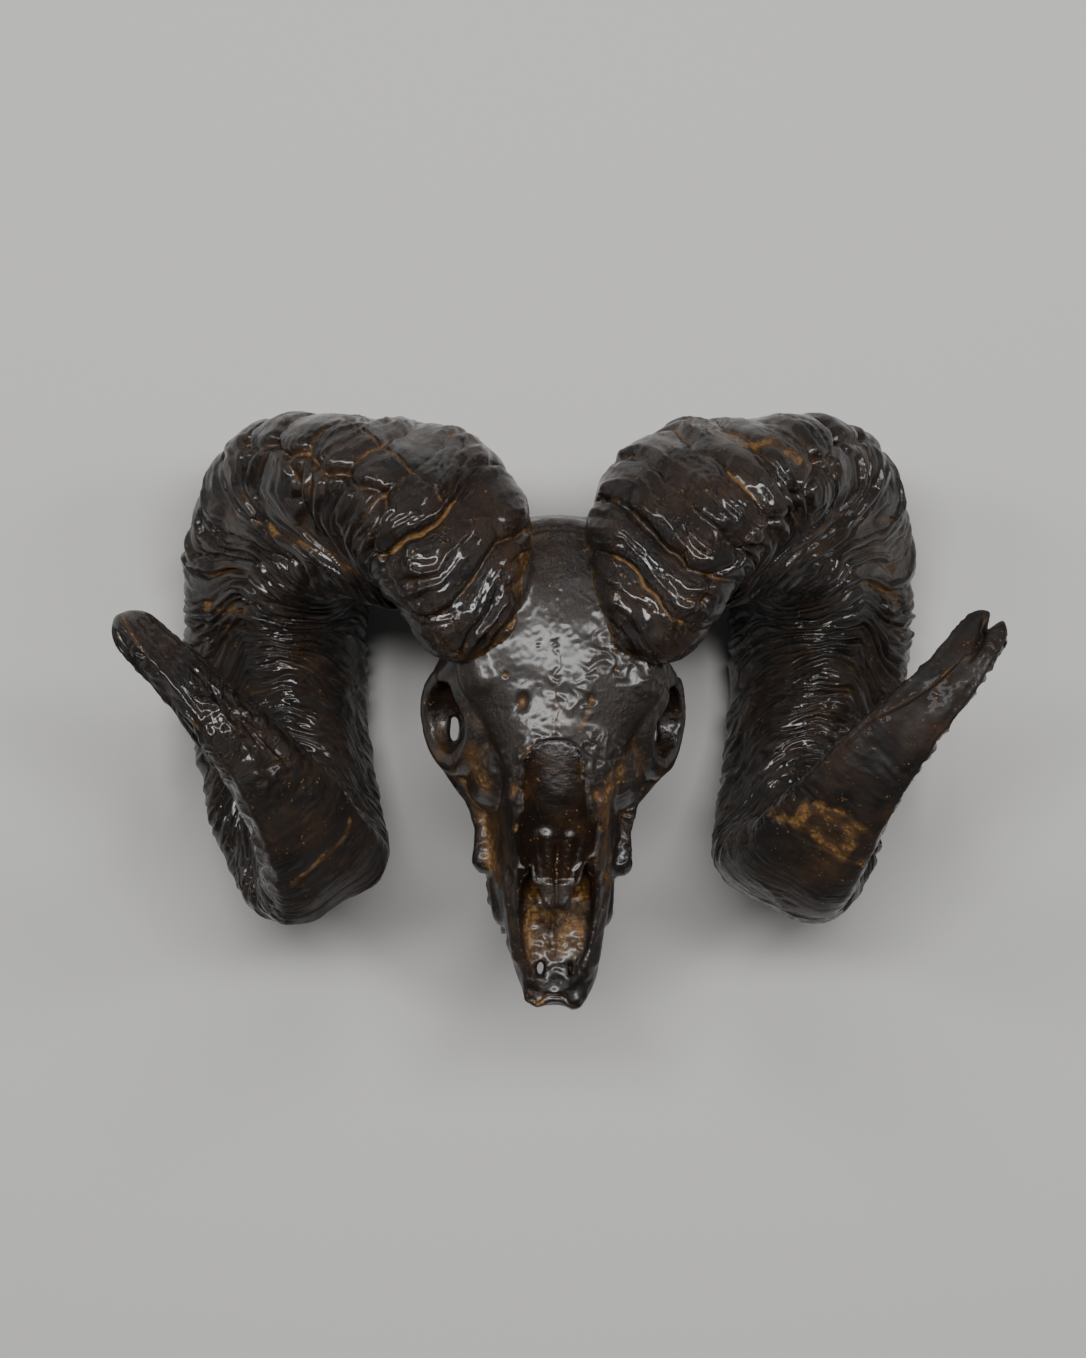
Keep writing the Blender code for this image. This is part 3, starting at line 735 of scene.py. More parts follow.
def patina_colour(finish, where, sheen_strength, cloud, drift, crumbs):
    """The base colour, and how full of ochre each recess is."""
    ochre, hollow, grey = (finish.stored(key) for key in ("ochre", "hollow", "grey"))
    recess = (ochre * 1.5 + hollow * 0.6 + crumbs * 2.4 + drift * 0.9 - 2.5) * 2.2
    recess = recess.clipped()
    # The specks are pale gold dots all over the surface: partly specks of ochre and partly painted
    # glints.
    gold = (recess * 0.85 + specks(finish, where) * 0.9).clipped()
    film = finish.grain(where, 34, 6, 0.7) * 1.5 + hollow * 0.2 + ochre * 0.9 - 0.84
    film = (film * 2.6).clipped()

    brown = finish.mixed(((cloud - 0.42) * 3.0).clipped(), BLACK_BROWN, WARM_BROWN)
    # Painted sheen: above 0 the grey turns the brown toward a lighter grey brown, more where the
    # cloud noise is high.
    wear_and_sheen = (grey * sheen_strength * (0.3 + cloud * 0.7)).clipped()
    with_sheen = finish.mixed(wear_and_sheen, brown, SHEEN_GREY_BROWN)
    filmed = finish.mixed(film * 0.7, with_sheen, WASH_OCHRE)
    tint = finish.mixed(((crumbs - 0.42) * 3.2).clipped(), DARK_OCHRE, PALE_OCHRE)
    return finish.mixed(gold, filmed, tint), recess


print("three browns and three ochres, the darkest", BLACK_BROWN[:3])

# %% [markdown]
# ## Gloss and finest relief
# Under the gloss a cast keeps relief that is too fine for any mesh: crumbs in the patina,
# scratches of the brush, and on the horns the strands of the growth lines. They only have
# to catch the light, so a Bump node is enough for them. The stored age and the place on a
# roll are the coordinates of the strands, so they follow the rings of the real geometry.

# %% Gloss and finest relief of bronze


def growth_lines(finish):
    """Fine noise drawn out along a horn's growth lines."""
    growth = finish.node("CombineXYZ", {}, {0: finish.stored("age"),
                                            1: finish.stored("round_x") * 0.13,
                                            2: finish.stored("round_y") * 0.13})
    return finish.node("TexNoise", {}, {"Vector": growth, "Scale": 0.8, "Detail": 6,
                                        "Roughness": 0.65})


def bronze(name, gloss, coat_roughness, sheen_strength, smoothed=0.0, stranded=False):
    """Dark polished patina. gloss is its least roughness, smoothed how sleek dull faces are."""
    finish = Finish(name)
    where = finish.node("TexCoord", {}, {}, "Object")
    cloud = finish.grain(where, 26, 3)
    drift = finish.grain(where, 13, 2)
    crumbs = finish.grain(where, 2.4, 6, 0.72)
    brushed = finish.node("Mapping", {}, {"Vector": where, "Scale": (1, 0.3, 1)})
    scratches = finish.grain(brushed, 1.4, 4, 0.6)
    colour, recess = patina_colour(finish, where, sheen_strength, cloud, drift, crumbs)

    grey = finish.stored("grey")
    dull = (grey * -1.0).clipped()
    fine = (1 - dull * 0.85).clipped()
    # Roughness rises a little where the sheen is painted, and with the drift noise.
    wear_and_sheen = gloss + grey.clipped() * 0.08 + ((drift - 0.4) * 0.4).clipped()
    rough = wear_and_sheen * (1 - dull * smoothed) + recess * 0.3
    height = (crumbs * 0.9 + scratches * 0.7 + drift * 0.9) * fine
    if stranded:
        height = height + growth_lines(finish) * fine * 1.6
    normal = finish.node("Bump", {}, {"Strength": 0.9, "Distance": 0.0009, "Height": height})
    coat = (0.45 - dull * 0.4 - recess * 0.35).clipped()
    finish.feed(Base_Color=colour, Roughness=rough.clipped(), Metallic=0.1, Normal=normal,
                IOR=1.42, Specular_IOR_Level=0.5, Coat_Weight=coat,
                Coat_Roughness=coat_roughness)
    return finish.material


horn_bronze = bronze("horn_patina", 0.22, 0.10, 0.45, smoothed=-1.7, stranded=True)
skull_bronze = bronze("skull_patina", 0.32, 0.21, 1.0, smoothed=0.6)
print("finishes:", horn_bronze.name, "and", skull_bronze.name)

# %% [markdown]
# ## The skull's frame
# The skull is built in its own frame, in millimetres: x to the animal's left, y backward
# from the front of the muzzle, z up from the chewing plane. It is then tilted so that the
# muzzle is raised. Bone swells and dips without edges, so it is made the way a sculptor
# works in clay: simple solids are pushed together, and a voxel remesh melts them into one
# skin. Lofting the whole skull as one grid would need a seam round every opening.

# %% Where the skull lies
SKULL_TILT = math.radians(28)
SKULL_ROLL = math.radians(3)
ROLL_HEIGHT_IN_SKULL = 90
SKULL_ORIGIN = Vector((0, -171.5, 180)) * MM
axle = Matrix.Translation((0, 0, ROLL_HEIGHT_IN_SKULL * MM))
skull_frame = (Matrix.Translation(SKULL_ORIGIN) @ Matrix.Rotation(-SKULL_TILT, 4, "X")
               @ axle @ Matrix.Rotation(SKULL_ROLL, 4, "Y") @ axle.inverted())
print("muzzle at", [round(c, 3) for c in skull_frame.translation])

# %% Simple solids


def skin(bm, rings, ring_shaped=False):
    """Closed surface over rings of points; its ends are capped unless it joins up in a ring."""
    loops = [[bm.verts.new(p) for p in ring] for ring in rings]
    pairs = list(zip(loops, loops[1:]))
    if ring_shaped:
        pairs.append((loops[-1], loops[0]))
    else:
        bm.faces.new(loops[0])
        bm.faces.new(reversed(loops[-1]))
    for a, b in pairs:
        for i in range(len(a)):
            j = (i + 1) % len(a)
            bm.faces.new((a[j], a[i], b[i], b[j]))


def ellipsoid(bm, centre, radii):
    place = Matrix.Translation(centre) @ Matrix.Diagonal((*radii, 1))
    bmesh.ops.create_icosphere(bm, subdivisions=4, radius=1, matrix=place)


def rod(bm, start, end, r0, r1, flat=1.0, sides=28):
    """Round-ended tapering rod; flat squeezes it across its side."""
    start, end = Vector(start), Vector(end)
    turn = (end - start).to_track_quat("Z", "Y").to_matrix()
    length = (end - start).length
    quarter = np.radians((4, 12, 24, 36, 50, 65, 80, 90))
    stations = [(-r0 * math.cos(a), r0 * math.sin(a)) for a in quarter]
    stations += [(length + r1 * math.cos(a), r1 * math.sin(a)) for a in quarter[::-1]]
    turns = np.linspace(0, 2 * math.pi, sides, endpoint=False)
    skin(bm, [[start + turn @ Vector((r * flat * math.cos(t), r * math.sin(t), z)) for t in turns]
              for z, r in stations])


def hoop(bm, centre, normal, radius, rim, sides=72):
    """Ring of round section, such as a socket's rim."""
    turn = Vector(normal).to_track_quat("Z", "Y").to_matrix()
    section = np.linspace(0, 2 * math.pi, 20, endpoint=False)
    skin(bm, [[centre + turn @ Vector(((radius + rim * math.cos(a)) * math.cos(t),
                                       (radius + rim * math.cos(a)) * math.sin(t),
                                       rim * math.sin(a))) for a in section]
              for t in np.linspace(0, 2 * math.pi, sides, endpoint=False)], ring_shaped=True)


print("solids: skin, ellipsoid, rod and hoop")

# %% [markdown]
# ## The skull's main forms
# The long body of the skull is a loft through thirteen sections, each with its top, its
# bottom and three half-widths. On it sit the parts that an anatomist would name: cheek,
# facial tuber, eye socket with its rim and the bar behind it, the arch back to the
# braincase, the swellings that carry the horns, and at the front the two nasal bones over
# the premaxilla's prongs.

# %% The body, y: (top, bottom, half-widths near the top, in the middle, near the bottom)
BODY = {
    2: (31, 21, 13, 17, 12),
    12: (40, 19, 15, 19, 14),
    25: (52, 18, 17, 22, 17),
    40: (66, 18, 18, 25, 22),
    70: (89, 20, 22, 27, 30),
    100: (107, 20, 25, 31, 34),
    125: (116, 22, 35, 36, 35),
    150: (127, 28, 52, 43, 31),
    175: (137, 34, 53, 42, 24),
    200: (142, 34, 46, 39, 25),
    225: (140, 34, 38, 39, 28),
    246: (118, 37, 32, 39, 30),
    260: (96, 44, 24, 31, 24),
}


def body_ring(y):
    """Section of the body at y: a smooth closed curve through eight guide points."""
    top, bottom, high, middle, low = (eased([(k, v[n]) for k, v in BODY.items()], y)
                                      for n in range(5))
    tall = top - bottom
    half = ((0, top), (high, top - 0.13 * tall), (middle, bottom + 0.52 * tall),
            (low, bottom + 0.12 * tall), (0, bottom))
    guide = list(half) + [(-x, z) for x, z in half[-2:0:-1]]
    n = len(guide)
    ring = []
    for i in range(n):
        a, b, c, d = (Vector(guide[(i + k) % n]) for k in (-1, 0, 1, 2))
        for t in np.arange(0, 1, 0.1):
            x, z = 0.5 * (2 * b + (c - a) * t + (2 * a - 5 * b + 4 * c - d) * t**2
                          + (3 * b - a - 3 * c + d) * t**3)
            ring.append((x, y, z))
    return ring


clay = bmesh.new()
skin(clay, [body_ring(y) for y in np.arange(2, 260.1, 2)])
rod(clay, (-30, 252, 97), (30, 252, 97), 6, 6)
ellipsoid(clay, (0, 222, 128), (34, 16, 15))
rod(clay, (0, 200, 38), (0, 262, 42), 9, 11)
print("body of", len(clay.verts), "points")

# %% Muzzle and cheeks


def add_face(bm, s):
    """The prongs beside the nasal opening, the cheek and its tuber."""
    rod(bm, (s * 12.5 + 1, 8, 27), (s * 20, 34, 34), 6, 6)
    rod(bm, (s * 9.5 + 1, 5, 27), (s * 9 + 1, 8, 26), 6.5, 6.5)
    rod(bm, (s * 20, 24, 38), (s * 25, 60, 58), 4, 5)
    ellipsoid(bm, (s * 31, 124, 66), (17, 25, 28))
    rod(bm, (s * 36.5, 82, 33), (s * 37, 98, 39), 7.5, 5.5)
    rod(bm, (s * 37, 98, 39), (s * 41, 114, 46), 5.5, 6)
    rod(bm, (s * 41, 114, 46), (s * 57, 135, 56), 6, 8)


print("a face has prongs, cheeks and tubers")

# %% Sockets and the back of the head
ORBIT_NORMAL = Vector((0.88, -0.30, 0.34))


def add_socket(bm, s):
    """The socket's rim, the bar behind it and the arch back to the braincase."""
    mirror = Vector((s, 1, 1))
    hoop(bm, Vector((54, 145, 76)) * mirror, ORBIT_NORMAL * mirror, 23, 7.5)
    ellipsoid(bm, (s * 47, 148, 72), (17, 26, 25))
    rod(bm, (s * 46, 166, 112), (s * 58, 164, 88), 9, 7)
    ellipsoid(bm, (s * 50, 153, 89), (10, 19, 15))
    rod(bm, (s * 66, 158, 56), (s * 60, 184, 56), 6, 5)
    rod(bm, (s * 60, 184, 56), (s * 42, 216, 62), 5, 6)
    ellipsoid(bm, (s * 36, 204, 128), (26, 30, 20))
    rod(bm, (s * 40, 150, 112), (s * 47, 172, 118), 10, 10)


def add_base(bm, s):
    """Wings below the throat opening, hearing bullae, the spurs beside them and the condyles."""
    rod(bm, (s * 15, 150, 30), (s * 13, 178, 15), 3.5, 2.5)
    rod(bm, (s * 14, 158, 34), (s * 15, 186, 34), 5, 6)
    ellipsoid(bm, (s * 23, 222, 30), (10, 15, 14))
    rod(bm, (s * 33, 246, 48), (s * 34, 250, 20), 9, 4, flat=0.7)
    ellipsoid(bm, (s * 14, 264, 52), (10, 10, 15))
    ellipsoid(bm, (s * 38, 246, 66), (9, 14, 20))


for s in (-1, 1):
    add_face(clay, s)
    add_socket(clay, s)
    add_base(clay, s)
print("clay of", len(clay.verts), "points")

# %% Nasal bones
NASAL_MIDDLE = -1.5


def add_nasal_bones(bm):
    """The two nasal bones, whose tips overhang the nasal opening."""
    for s in (-1, 1):
        rod(bm, (NASAL_MIDDLE + s * 3.6, 42, 67.5), (NASAL_MIDDLE + s * 6, 73, 84.5), 3.8, 6)
        rod(bm, (NASAL_MIDDLE + s * 8.5, 53, 74), (s * 12, 76, 84), 3.8, 5.5)
        rod(bm, (s * 19, 60, 70), (s * 17, 84, 84), 4, 6)


nasal_clay = bmesh.new()
add_nasal_bones(nasal_clay)
print("nasal bones of", len(nasal_clay.verts), "points")

# %% [markdown]
# ## Cheek teeth
# A sheep has three premolars and three molars on each side, and no upper front teeth. Each
# crown is a tall prism whose outer wall is folded: ribs called styles stand at its corners
# and middle, so the row looks fluted from the side. The crowns are lofted from a folded
# outline here, since plain boxes would read as piano keys.

# %% A row of teeth
TOOTH_LENGTHS = (9, 10, 11, 13, 15, 15)
TOOTH_ROW_START = 51.5
TOOTH_LINE = (24.5, 29.5)
TOOTH_WIDTHS = (8, 11, 13, 13, 13, 13)
TOOTH_CROWN = 24
TOOTH_LEAN = 0.12


def crown_outline(length, width, lobes):
    """Outline of a crown seen from above, x outward: ribs outside, round lobes inside."""
    along = np.linspace(-0.5, 0.5, 25)
    ribs = 0.5 * width - 1.5 * np.abs(np.sin(math.pi * lobes * (along + 0.5)))**0.7
    outside = [(x, a * length) for a, x in zip(along, ribs)]
    inner = 0.42 * width * np.abs(np.sin(math.pi * lobes * (along + 0.5)))**0.4
    inside = [(-x - 0.06 * width, a * length) for a, x in zip(along[::-1], inner[::-1])]
    return outside + inside[1:-1]


def add_teeth(bm, s):
    """The bone that holds a row of cheek teeth, and their crowns."""
    front, back = TOOTH_ROW_START, TOOTH_ROW_START + sum(TOOTH_LENGTHS)
    rod(bm, (s * TOOTH_LINE[0], front + 4, 25), (s * TOOTH_LINE[1], back - 2, 26), 8, 10)
    for i, length in enumerate(TOOTH_LENGTHS):
        y = front + sum(TOOTH_LENGTHS[:i]) + length / 2
        width = TOOTH_WIDTHS[i]
        x = np.interp(y, (front, back), TOOTH_LINE) - (max(TOOTH_WIDTHS) - width) / 2
        outline = crown_outline(length - 1.2, width, 1 if i < 3 else 2)
        rings = []
        for z, grown in ((0.4, 0.86), (1.6, 0.96), (8, 1), (16, 1.02), (TOOTH_CROWN, 1)):
            lean = TOOTH_LEAN * (TOOTH_CROWN / 2 - z)
            rings.append([(s * (x + u * grown + lean), y + v * grown, z) for u, v in outline])
        skin(bm, rings)


for s in (-1, 1):
    add_teeth(clay, s)
print("teeth:", 2 * len(TOOTH_LENGTHS))

# %% [markdown]
# ## Openings
# The nasal passage, the slots in its floor, the sockets, the throat opening and the hole
# for the spinal cord are cut out with a second lump of clay. A Boolean cuts exactly where
# the two skins cross, and the remesh after it evens out the faces for the relief to come.
# The nasal bones are put on after the cut, because their tips reach over the passage.

# %% Clay that is cut away
# y: (half-width, height of the floor)
NASAL_OPENING = {5: (5, 34), 9: (9.5, 34), 16: (14, 35), 26: (18, 38), 38: (20.5, 44),
                 50: (21, 52), 58: (18, 60), 66: (10, 70)}
SOCKET_MIDDLE = (59, 144, 79)
SOCKET_RADII = (19, 18.5, 19)


def nasal_ring(y, half, floor):
    """Section of the nasal opening: a floor with rounded corners, and an open top."""
    shape = ((1, 0.6), (0.93, 0.3), (0.7, 0.1), (0, 0), (-0.7, 0.1), (-0.93, 0.3), (-1, 0.6))
    low = [(x * half, y, floor + z * half) for x, z in shape]
    return low + [(-half, y, 100), (half, y, 100)]


def add_hollows(bm):
    skin(bm, [nasal_ring(y, *size) for y, size in NASAL_OPENING.items()])
    rod(bm, (0, 146, 34), (0, 182, 36), 9.5, 8)
    rod(bm, (0, 252, 62), (0, 300, 62), 9, 9)
    for s in (-1, 1):
        rod(bm, (s * 7.7 + 0.7, 15, 42), (s * 7.7 + 0.7, 35, 4), 4.2, 4.2, flat=0.45)
        ellipsoid(bm, Vector(SOCKET_MIDDLE) * Vector((s, 1, 1)), SOCKET_RADII)
        rod(bm, (s * 54.5, 156, 58), (s * 53, 178, 44), 3.5, 8)
        rod(bm, (s * 53.5, 128, 95), (s * 53.5, 168, 20), 7, 7, flat=0.38)
        rod(bm, (s * 54, 180, 84), (s * 56, 204, 88), 15, 12)


hollow_clay = bmesh.new()
add_hollows(hollow_clay)
print("openings of", len(hollow_clay.verts), "points")

# %% Melt, cut and melt again
CLAY_VOXEL = 1.3        # mm, also the smallest form that lasts
SKIN_VOXEL = 0.95


def clay_object(name, bm):
    bmesh.ops.scale(bm, vec=(MM, MM, MM), verts=bm.verts)
    bmesh.ops.recalc_face_normals(bm, faces=bm.faces)
    mesh = bpy.data.meshes.new(name)
    bm.to_mesh(mesh)
    bm.free()
    obj = bpy.data.objects.new(name, mesh)
    bpy.context.scene.collection.objects.link(obj)
    return obj


def changed(obj, kind, **settings):
    """Adds a modifier and applies it at once."""
    modifier = obj.modifiers.new(kind.lower(), kind)
    for name, value in settings.items():
        setattr(modifier, name, value)
    evaluated = obj.evaluated_get(bpy.context.evaluated_depsgraph_get())
    mesh = bpy.data.meshes.new_from_object(evaluated)
    obj.modifiers.clear()
    obj.data = mesh
    return obj


skull = clay_object("ram_skull", clay)
cutter = clay_object("openings", hollow_clay)
nasal_bones = clay_object("nasal_bones", nasal_clay)
changed(skull, "REMESH", mode="VOXEL", voxel_size=CLAY_VOXEL * MM)
changed(cutter, "REMESH", mode="VOXEL", voxel_size=CLAY_VOXEL * MM)
changed(skull, "BOOLEAN", operation="DIFFERENCE", solver="EXACT", object=cutter)
with_nose = bmesh.new()
with_nose.from_mesh(skull.data)
with_nose.from_mesh(nasal_bones.data)
with_nose.to_mesh(skull.data)
with_nose.free()
for used in (cutter, nasal_bones):
    bpy.data.objects.remove(used, do_unlink=True)
changed(skull, "REMESH", mode="VOXEL", voxel_size=SKIN_VOXEL * MM)
changed(skull, "SMOOTH", factor=0.5, iterations=10)
print("skull skin of", len(skull.data.vertices), "points")

# %% [markdown]
# ## Relief on the skull
# Now the detail that makes bone look like bone: sutures where its plates meet, small holes
# for nerves and vessels, the wormy ridges of the forehead, and the pores near the teeth.
# Each point moves along its own normal by a depth in millimetres. The sutures are short
# lines in the skull's own x and y, seen from above, and their zigzag comes from noise.

# %% The skull's points and how they join


def read_rows(items, name, width, kind=np.float32):
    """A property of all the points or edges of a mesh, with one row for each."""
    values = np.empty(len(items) * width, kind)
    items.foreach_get(name, values)
    return values.reshape(-1, width)


def read_points(obj):
    """Points of an object, in mm."""
    return read_rows(obj.data.vertices, "co", 3).astype(float) / MM


def averaged(values, edges, steps):
    """Values of points averaged with their neighbours' again and again."""
    ends = np.concatenate([edges[:, 0], edges[:, 1]])
    others = np.concatenate([edges[:, 1], edges[:, 0]])
    count = np.bincount(ends, minlength=len(values)) + 1
    for _ in range(steps):
        sums = [np.bincount(ends, column[others], len(values)) for column in values.T]
        values = (values + np.stack(sums, axis=1)) / count[:, None]
    return values


bone_points = read_points(skull)
bone_normals = read_rows(skull.data.vertices, "normal", 3).astype(float)
bone_edges = read_rows(skull.data.edges, "vertices", 2, np.int32)
x, y, z = bone_points.T
print("skull spans", np.ptp(bone_points, axis=0).round(1), "mm")

# %% Sutures, seen from above
SUTURE_OCHRE_WIDTH = 1.3
MIDDLE = ((0, 0), (40, -1.5), (67, -2), (110, -5), (160, -4.5), (240, -2))
SUTURES = [     # line of (x off the middle, y), width and depth in mm, zigzag in mm, ochre
    (((0, 36), (0, 50), (0, 66)), 0.6, 0.9, 0.5, 0.0),
    (((0, 118), (0, 160)), 0.8, 0.45, 2.6, 0.7),
    (((0, 160), (0, 205)), 0.6, 0.3, 2.6, 0.2),
    (((0, 117), (-7, 114), (-14, 111), (-19, 104), (-18, 92)), 0.9, 0.7, 1.6, 0.6),
    (((0, 117), (7, 114), (13, 108), (15, 98)), 0.9, 0.7, 1.6, 0.6),
    (((-21, 60), (-15, 57), (-9, 48), (-5.5, 41)), 1.0, -0.7, 0.3, 0.0),
    (((19.5, 64), (9.5, 55), (8, 46), (4, 40)), 1.0, -0.7, 0.3, 0.0),
    (((-46, 214), (-22, 222), (0, 226), (22, 222), (46, 214)), 0.7, 0.6, 1.5, 0.4),
]
roof = np.clip((bone_normals[:, 2] - 0.15) / 0.3, 0, 1)
off_middle = x - keyed(MIDDLE, y)
relief = np.zeros(len(x))
ochre = np.zeros(len(x))
for line, width, depth, zigzag, gold in SUTURES:
    shake = zigzag * np.stack([noise(bone_points, 4.5, seed) for seed in (41, 42)])
    away = off_line(off_middle + shake[0], y + shake[1], line)
    cut = roof * hill(away, width)
    relief -= depth * cut
    broken = np.clip(0.3 + 1.6 * noise(bone_points, 7, 43), 0, 1)
    dirt = roof * hill(away, width * SUTURE_OCHRE_WIDTH)
    ochre = np.maximum(ochre, gold * broken * dirt)
below_hole = off_line(x, y, ((14, 134), (11, 126), (9, 121))) + noise(bone_points, 5, 45)
ochre = np.maximum(ochre, 0.6 * roof * hill(below_hole, 2.2))
print("sutures:", len(SUTURES))

# %% Holes for nerves and vessels, and the pits of the forehead
HOLES = [       # (x, y), radius and depth in mm, ochre
    ((-21.9, 134.5), 2.7, 2.6, 0.42),
    ((14.7, 136), 2.2, 1.6, 0.4),
    ((-25.6, 95), 2.4, 1.6, 1.0),
    ((19, 91), 2.0, 1.5, 0.9),
    ((-31, 148), 1.0, 1.0, 0.5),
    ((27, 151), 1.0, 1.0, 0.5),
    ((-14, 161), 0.9, 0.6, 0.3),
    ((-24, 78), 1.2, 1.1, 0.8),
    ((21, 77), 1.2, 1.1, 0.8),
]
for (hole_x, hole_y), radius, depth, gold in HOLES:
    away = np.hypot(x - hole_x, (y - hole_y) * 0.85) + 0.5 * noise(bone_points, 4, 44)
    lip = 0.1 * radius * hill(away - 1.8 * radius, radius)
    relief -= roof * (depth * hill(away, radius) - lip)
    ochre = np.maximum(ochre, gold * roof * hill(away, 1.15 * radius))
print("holes:", len(HOLES))

# %% [markdown]
# ## Ridges, plate and pores
# The forehead of an old ram is covered with ridges like worm tracks. Noise whose absolute
# value is taken has sharp crests in winding lines, and bending its places with more noise
# makes it wander. A ready noise texture in a displacement modifier would put the same
# relief everywhere, but here masks keep each kind to its own region, and they fade into
# each other at their edges. The plate over the nose is smooth, and a little steeper than
# the bone round it, so from above it mirrors nothing bright and stays dark.

# %% Regions of the roof
forehead = roof * between(y, 102, 188, 16)
plate_half = keyed(((60, 20), (76, 23), (84, 18), (98, 17.5), (106, 16), (112, 12), (115, 7)), y)
plate = roof * between(off_middle, -plate_half, plate_half, 3) * between(y, 50, 115, 2.5)
flank = roof * between(y, 58, 118, 8) * (1 - plate)
rough_forehead = forehead * (1 - plate)
print("the plate is", round(2 * float(plate_half.max())), "mm wide")

# %% Wormy ridges, muscle marks and pores
PLATE_RISE = ((84, -0.6), (90, -0.45), (98, -0.1), (102, 0.3), (106, 0.9), (110, 1.6),
              (116, 2.8))       # (y, height)
bend = np.stack([noise(bone_points, 8, seed) for seed in (51, 52, 53)], axis=1)
worms = 1 - 2 * np.abs(noise(bone_points + 3.0 * bend, 7.5, 54))
where_worms = np.clip(1.5 * noise(bone_points, 30, 55) + 0.022 * (x - 4), 0, 1)
worm_height = 0.5 + 0.4 * between(x, 8, 60, 14)
relief += worm_height * np.maximum(worms, -0.1) * rough_forehead * where_worms
relief += 0.7 * np.maximum(worms, -0.3) * flank * between(y, 78, 130, 16)
scratches = 1 - 2 * np.abs(noise(bone_points * (1, 0.5, 1) + 1.2 * bend, 3.0, 61))
relief += 0.12 * scratches * rough_forehead * np.clip(0.5 + noise(bone_points, 26, 62), 0, 1)
side_streaks = noise(bone_points * (1, 0.35, 1) + 1.5 * bend, 4.2, 56)
relief += 0.28 * side_streaks * (1 - plate) * (1 - forehead)
swells = 1.3 * noise(bone_points, 30, 57) + 0.35 * noise(bone_points, 12, 58)
relief += swells * (1 - 0.75 * plate)
relief += 0.06 * noise(bone_points, 3.4, 59) * (1 - 0.8 * plate)
relief += plate * keyed(PLATE_RISE, y)
relief -= 0.14 * roof * np.clip(22 - y, 0, 16) * hill(x, 12)
relief -= 1.15 * between(y, -10, 12, 10)
pores = np.clip(noise(bone_points, 2.6, 60) - 0.45, 0, 1)
relief -= 1.1 * pores * between(z, 18, 62, 10) * (1 - roof)
print("relief of the skull from", relief.min().round(2), "to", relief.max().round(2), "mm")

# %% [markdown]
# ## Patina on the skull
# The ochre of the skull is strongest in the floor of the nasal opening, in the long
# hollows beside the nose, round the lower rims of the sockets and at the premaxilla. The
# forehead is the palest and greyest place, with painted sheen over all of it. All of this is
# kept as numbers on the points and not in a painted map, so it follows the shape when that
# changes.

# %% Ochre in the long hollows beside the nose
STRIPS = [((-47, 119), (-40, 106), (-37, 97), (-34, 89), (-34, 79), (-31, 66)),
          ((32, 110), (25, 97), (25, 84), (28, 77), (27, 69), (26, 60))]
patches = np.clip(0.25 + 1.5 * noise(bone_points, 16, 64), 0, 1)
facing = between(z, 34, 108, 12) * np.clip(bone_normals[:, 2] * 4, 0, 1)
for line in STRIPS:
    away = off_line(x, y, line) + 1.2 * noise(bone_points, 9, 65)
    ochre = np.maximum(ochre, hill(away, 3.8) * facing * (0.6 + 0.4 * patches))
print("strips:", len(STRIPS))

# %% Relief and ochre in the floor of the nasal opening
opening = list(NASAL_OPENING.items())
opening_half = keyed([(at, half) for at, (half, _) in opening], y)
opening_floor = keyed([(at, floor) for at, (_, floor) in opening], y)
swirl = 1 - 2 * np.abs(noise(bone_points + 2.5 * bend, 7, 66))
in_floor = (between(z - opening_floor, -4, 4, 3) * between(np.abs(x), -1, opening_half - 2, 3)
            * between(y, 12, 66, 4) * np.clip(bone_normals[:, 2] * 1.5, 0, 1))
relief += in_floor * (0.6 * swirl + 0.3 * noise(bone_points, 4, 67))
relief += 0.6 * roof * between(y, -4, 16, 5) * noise(bone_points, 4.4, 69)
relief -= in_floor * 1.3 * hill(off_middle, 1.6) * between(y, 26, 42, 4)
middle_line = hill(off_middle, 2.2) * between(y, 24, 42, 4)
golden_floor = in_floor * between(y, 23, 62, 14) * (1 - 0.85 * middle_line)
swirled = 0.45 + 0.2 * swirl + 0.4 * noise(bone_points, 11, 68)
ochre = np.maximum(ochre, swirled * golden_floor)
print("golden floor of", int((golden_floor > 0.5).sum()), "points")

# %% Ochre of the front edge, the cheeks and the rims of the sockets
ochre = np.maximum(ochre, 0.6 * hill(np.hypot(x - 1, (y + 2) * 1.1), 6) * patches)
for s in (-1, 1):
    lobe = hill(np.hypot(x - s * 8 - 1, (y + 1) * 1.2), 6) * between(z, 20, 34, 4)
    ochre = np.maximum(ochre, 0.95 * lobe * (0.4 + 0.6 * patches))
    from_cheek = np.linalg.norm(bone_points - (s * 40, 116, 78), axis=1)
    ochre = np.maximum(ochre, 0.95 * hill(from_cheek, 8) * (0.4 + 0.6 * patches))
    from_rim = np.linalg.norm(bone_points - (s * 58, 127, 60), axis=1)
    ochre = np.maximum(ochre, 0.75 * hill(from_rim, 13) * (0.2 + 0.8 * patches))
print("ochre on", round(100 * float((ochre > 0.5).mean()), 1), "% of the skull")

# %% Hollows and grey of the skull
bone_points = bone_points + relief[:, None] * bone_normals
soft = averaged(bone_points, bone_edges, 14)
hollow = ((soft - bone_points) * bone_normals).sum(axis=1)
# grey is painted sheen: a lighter grey brown, strongest on the rough forehead, a little over the
# rest of the skull and none on the plate. Below 0 the plate and the socket bowls are sleek, with
# almost no coat.
grey = np.clip(rough_forehead + 0.15, 0, 1) - plate
for s in (-1, 1):
    middle = np.array(SOCKET_MIDDLE) * (s, 1, 1)
    from_bowl = np.linalg.norm(bone_points - middle, axis=1) / SOCKET_RADII[0]
    grey -= 1.2 * between(from_bowl, -1, 1.04, 0.1)
print("deepest recess", hollow.max().round(2), "mm below its surroundings")

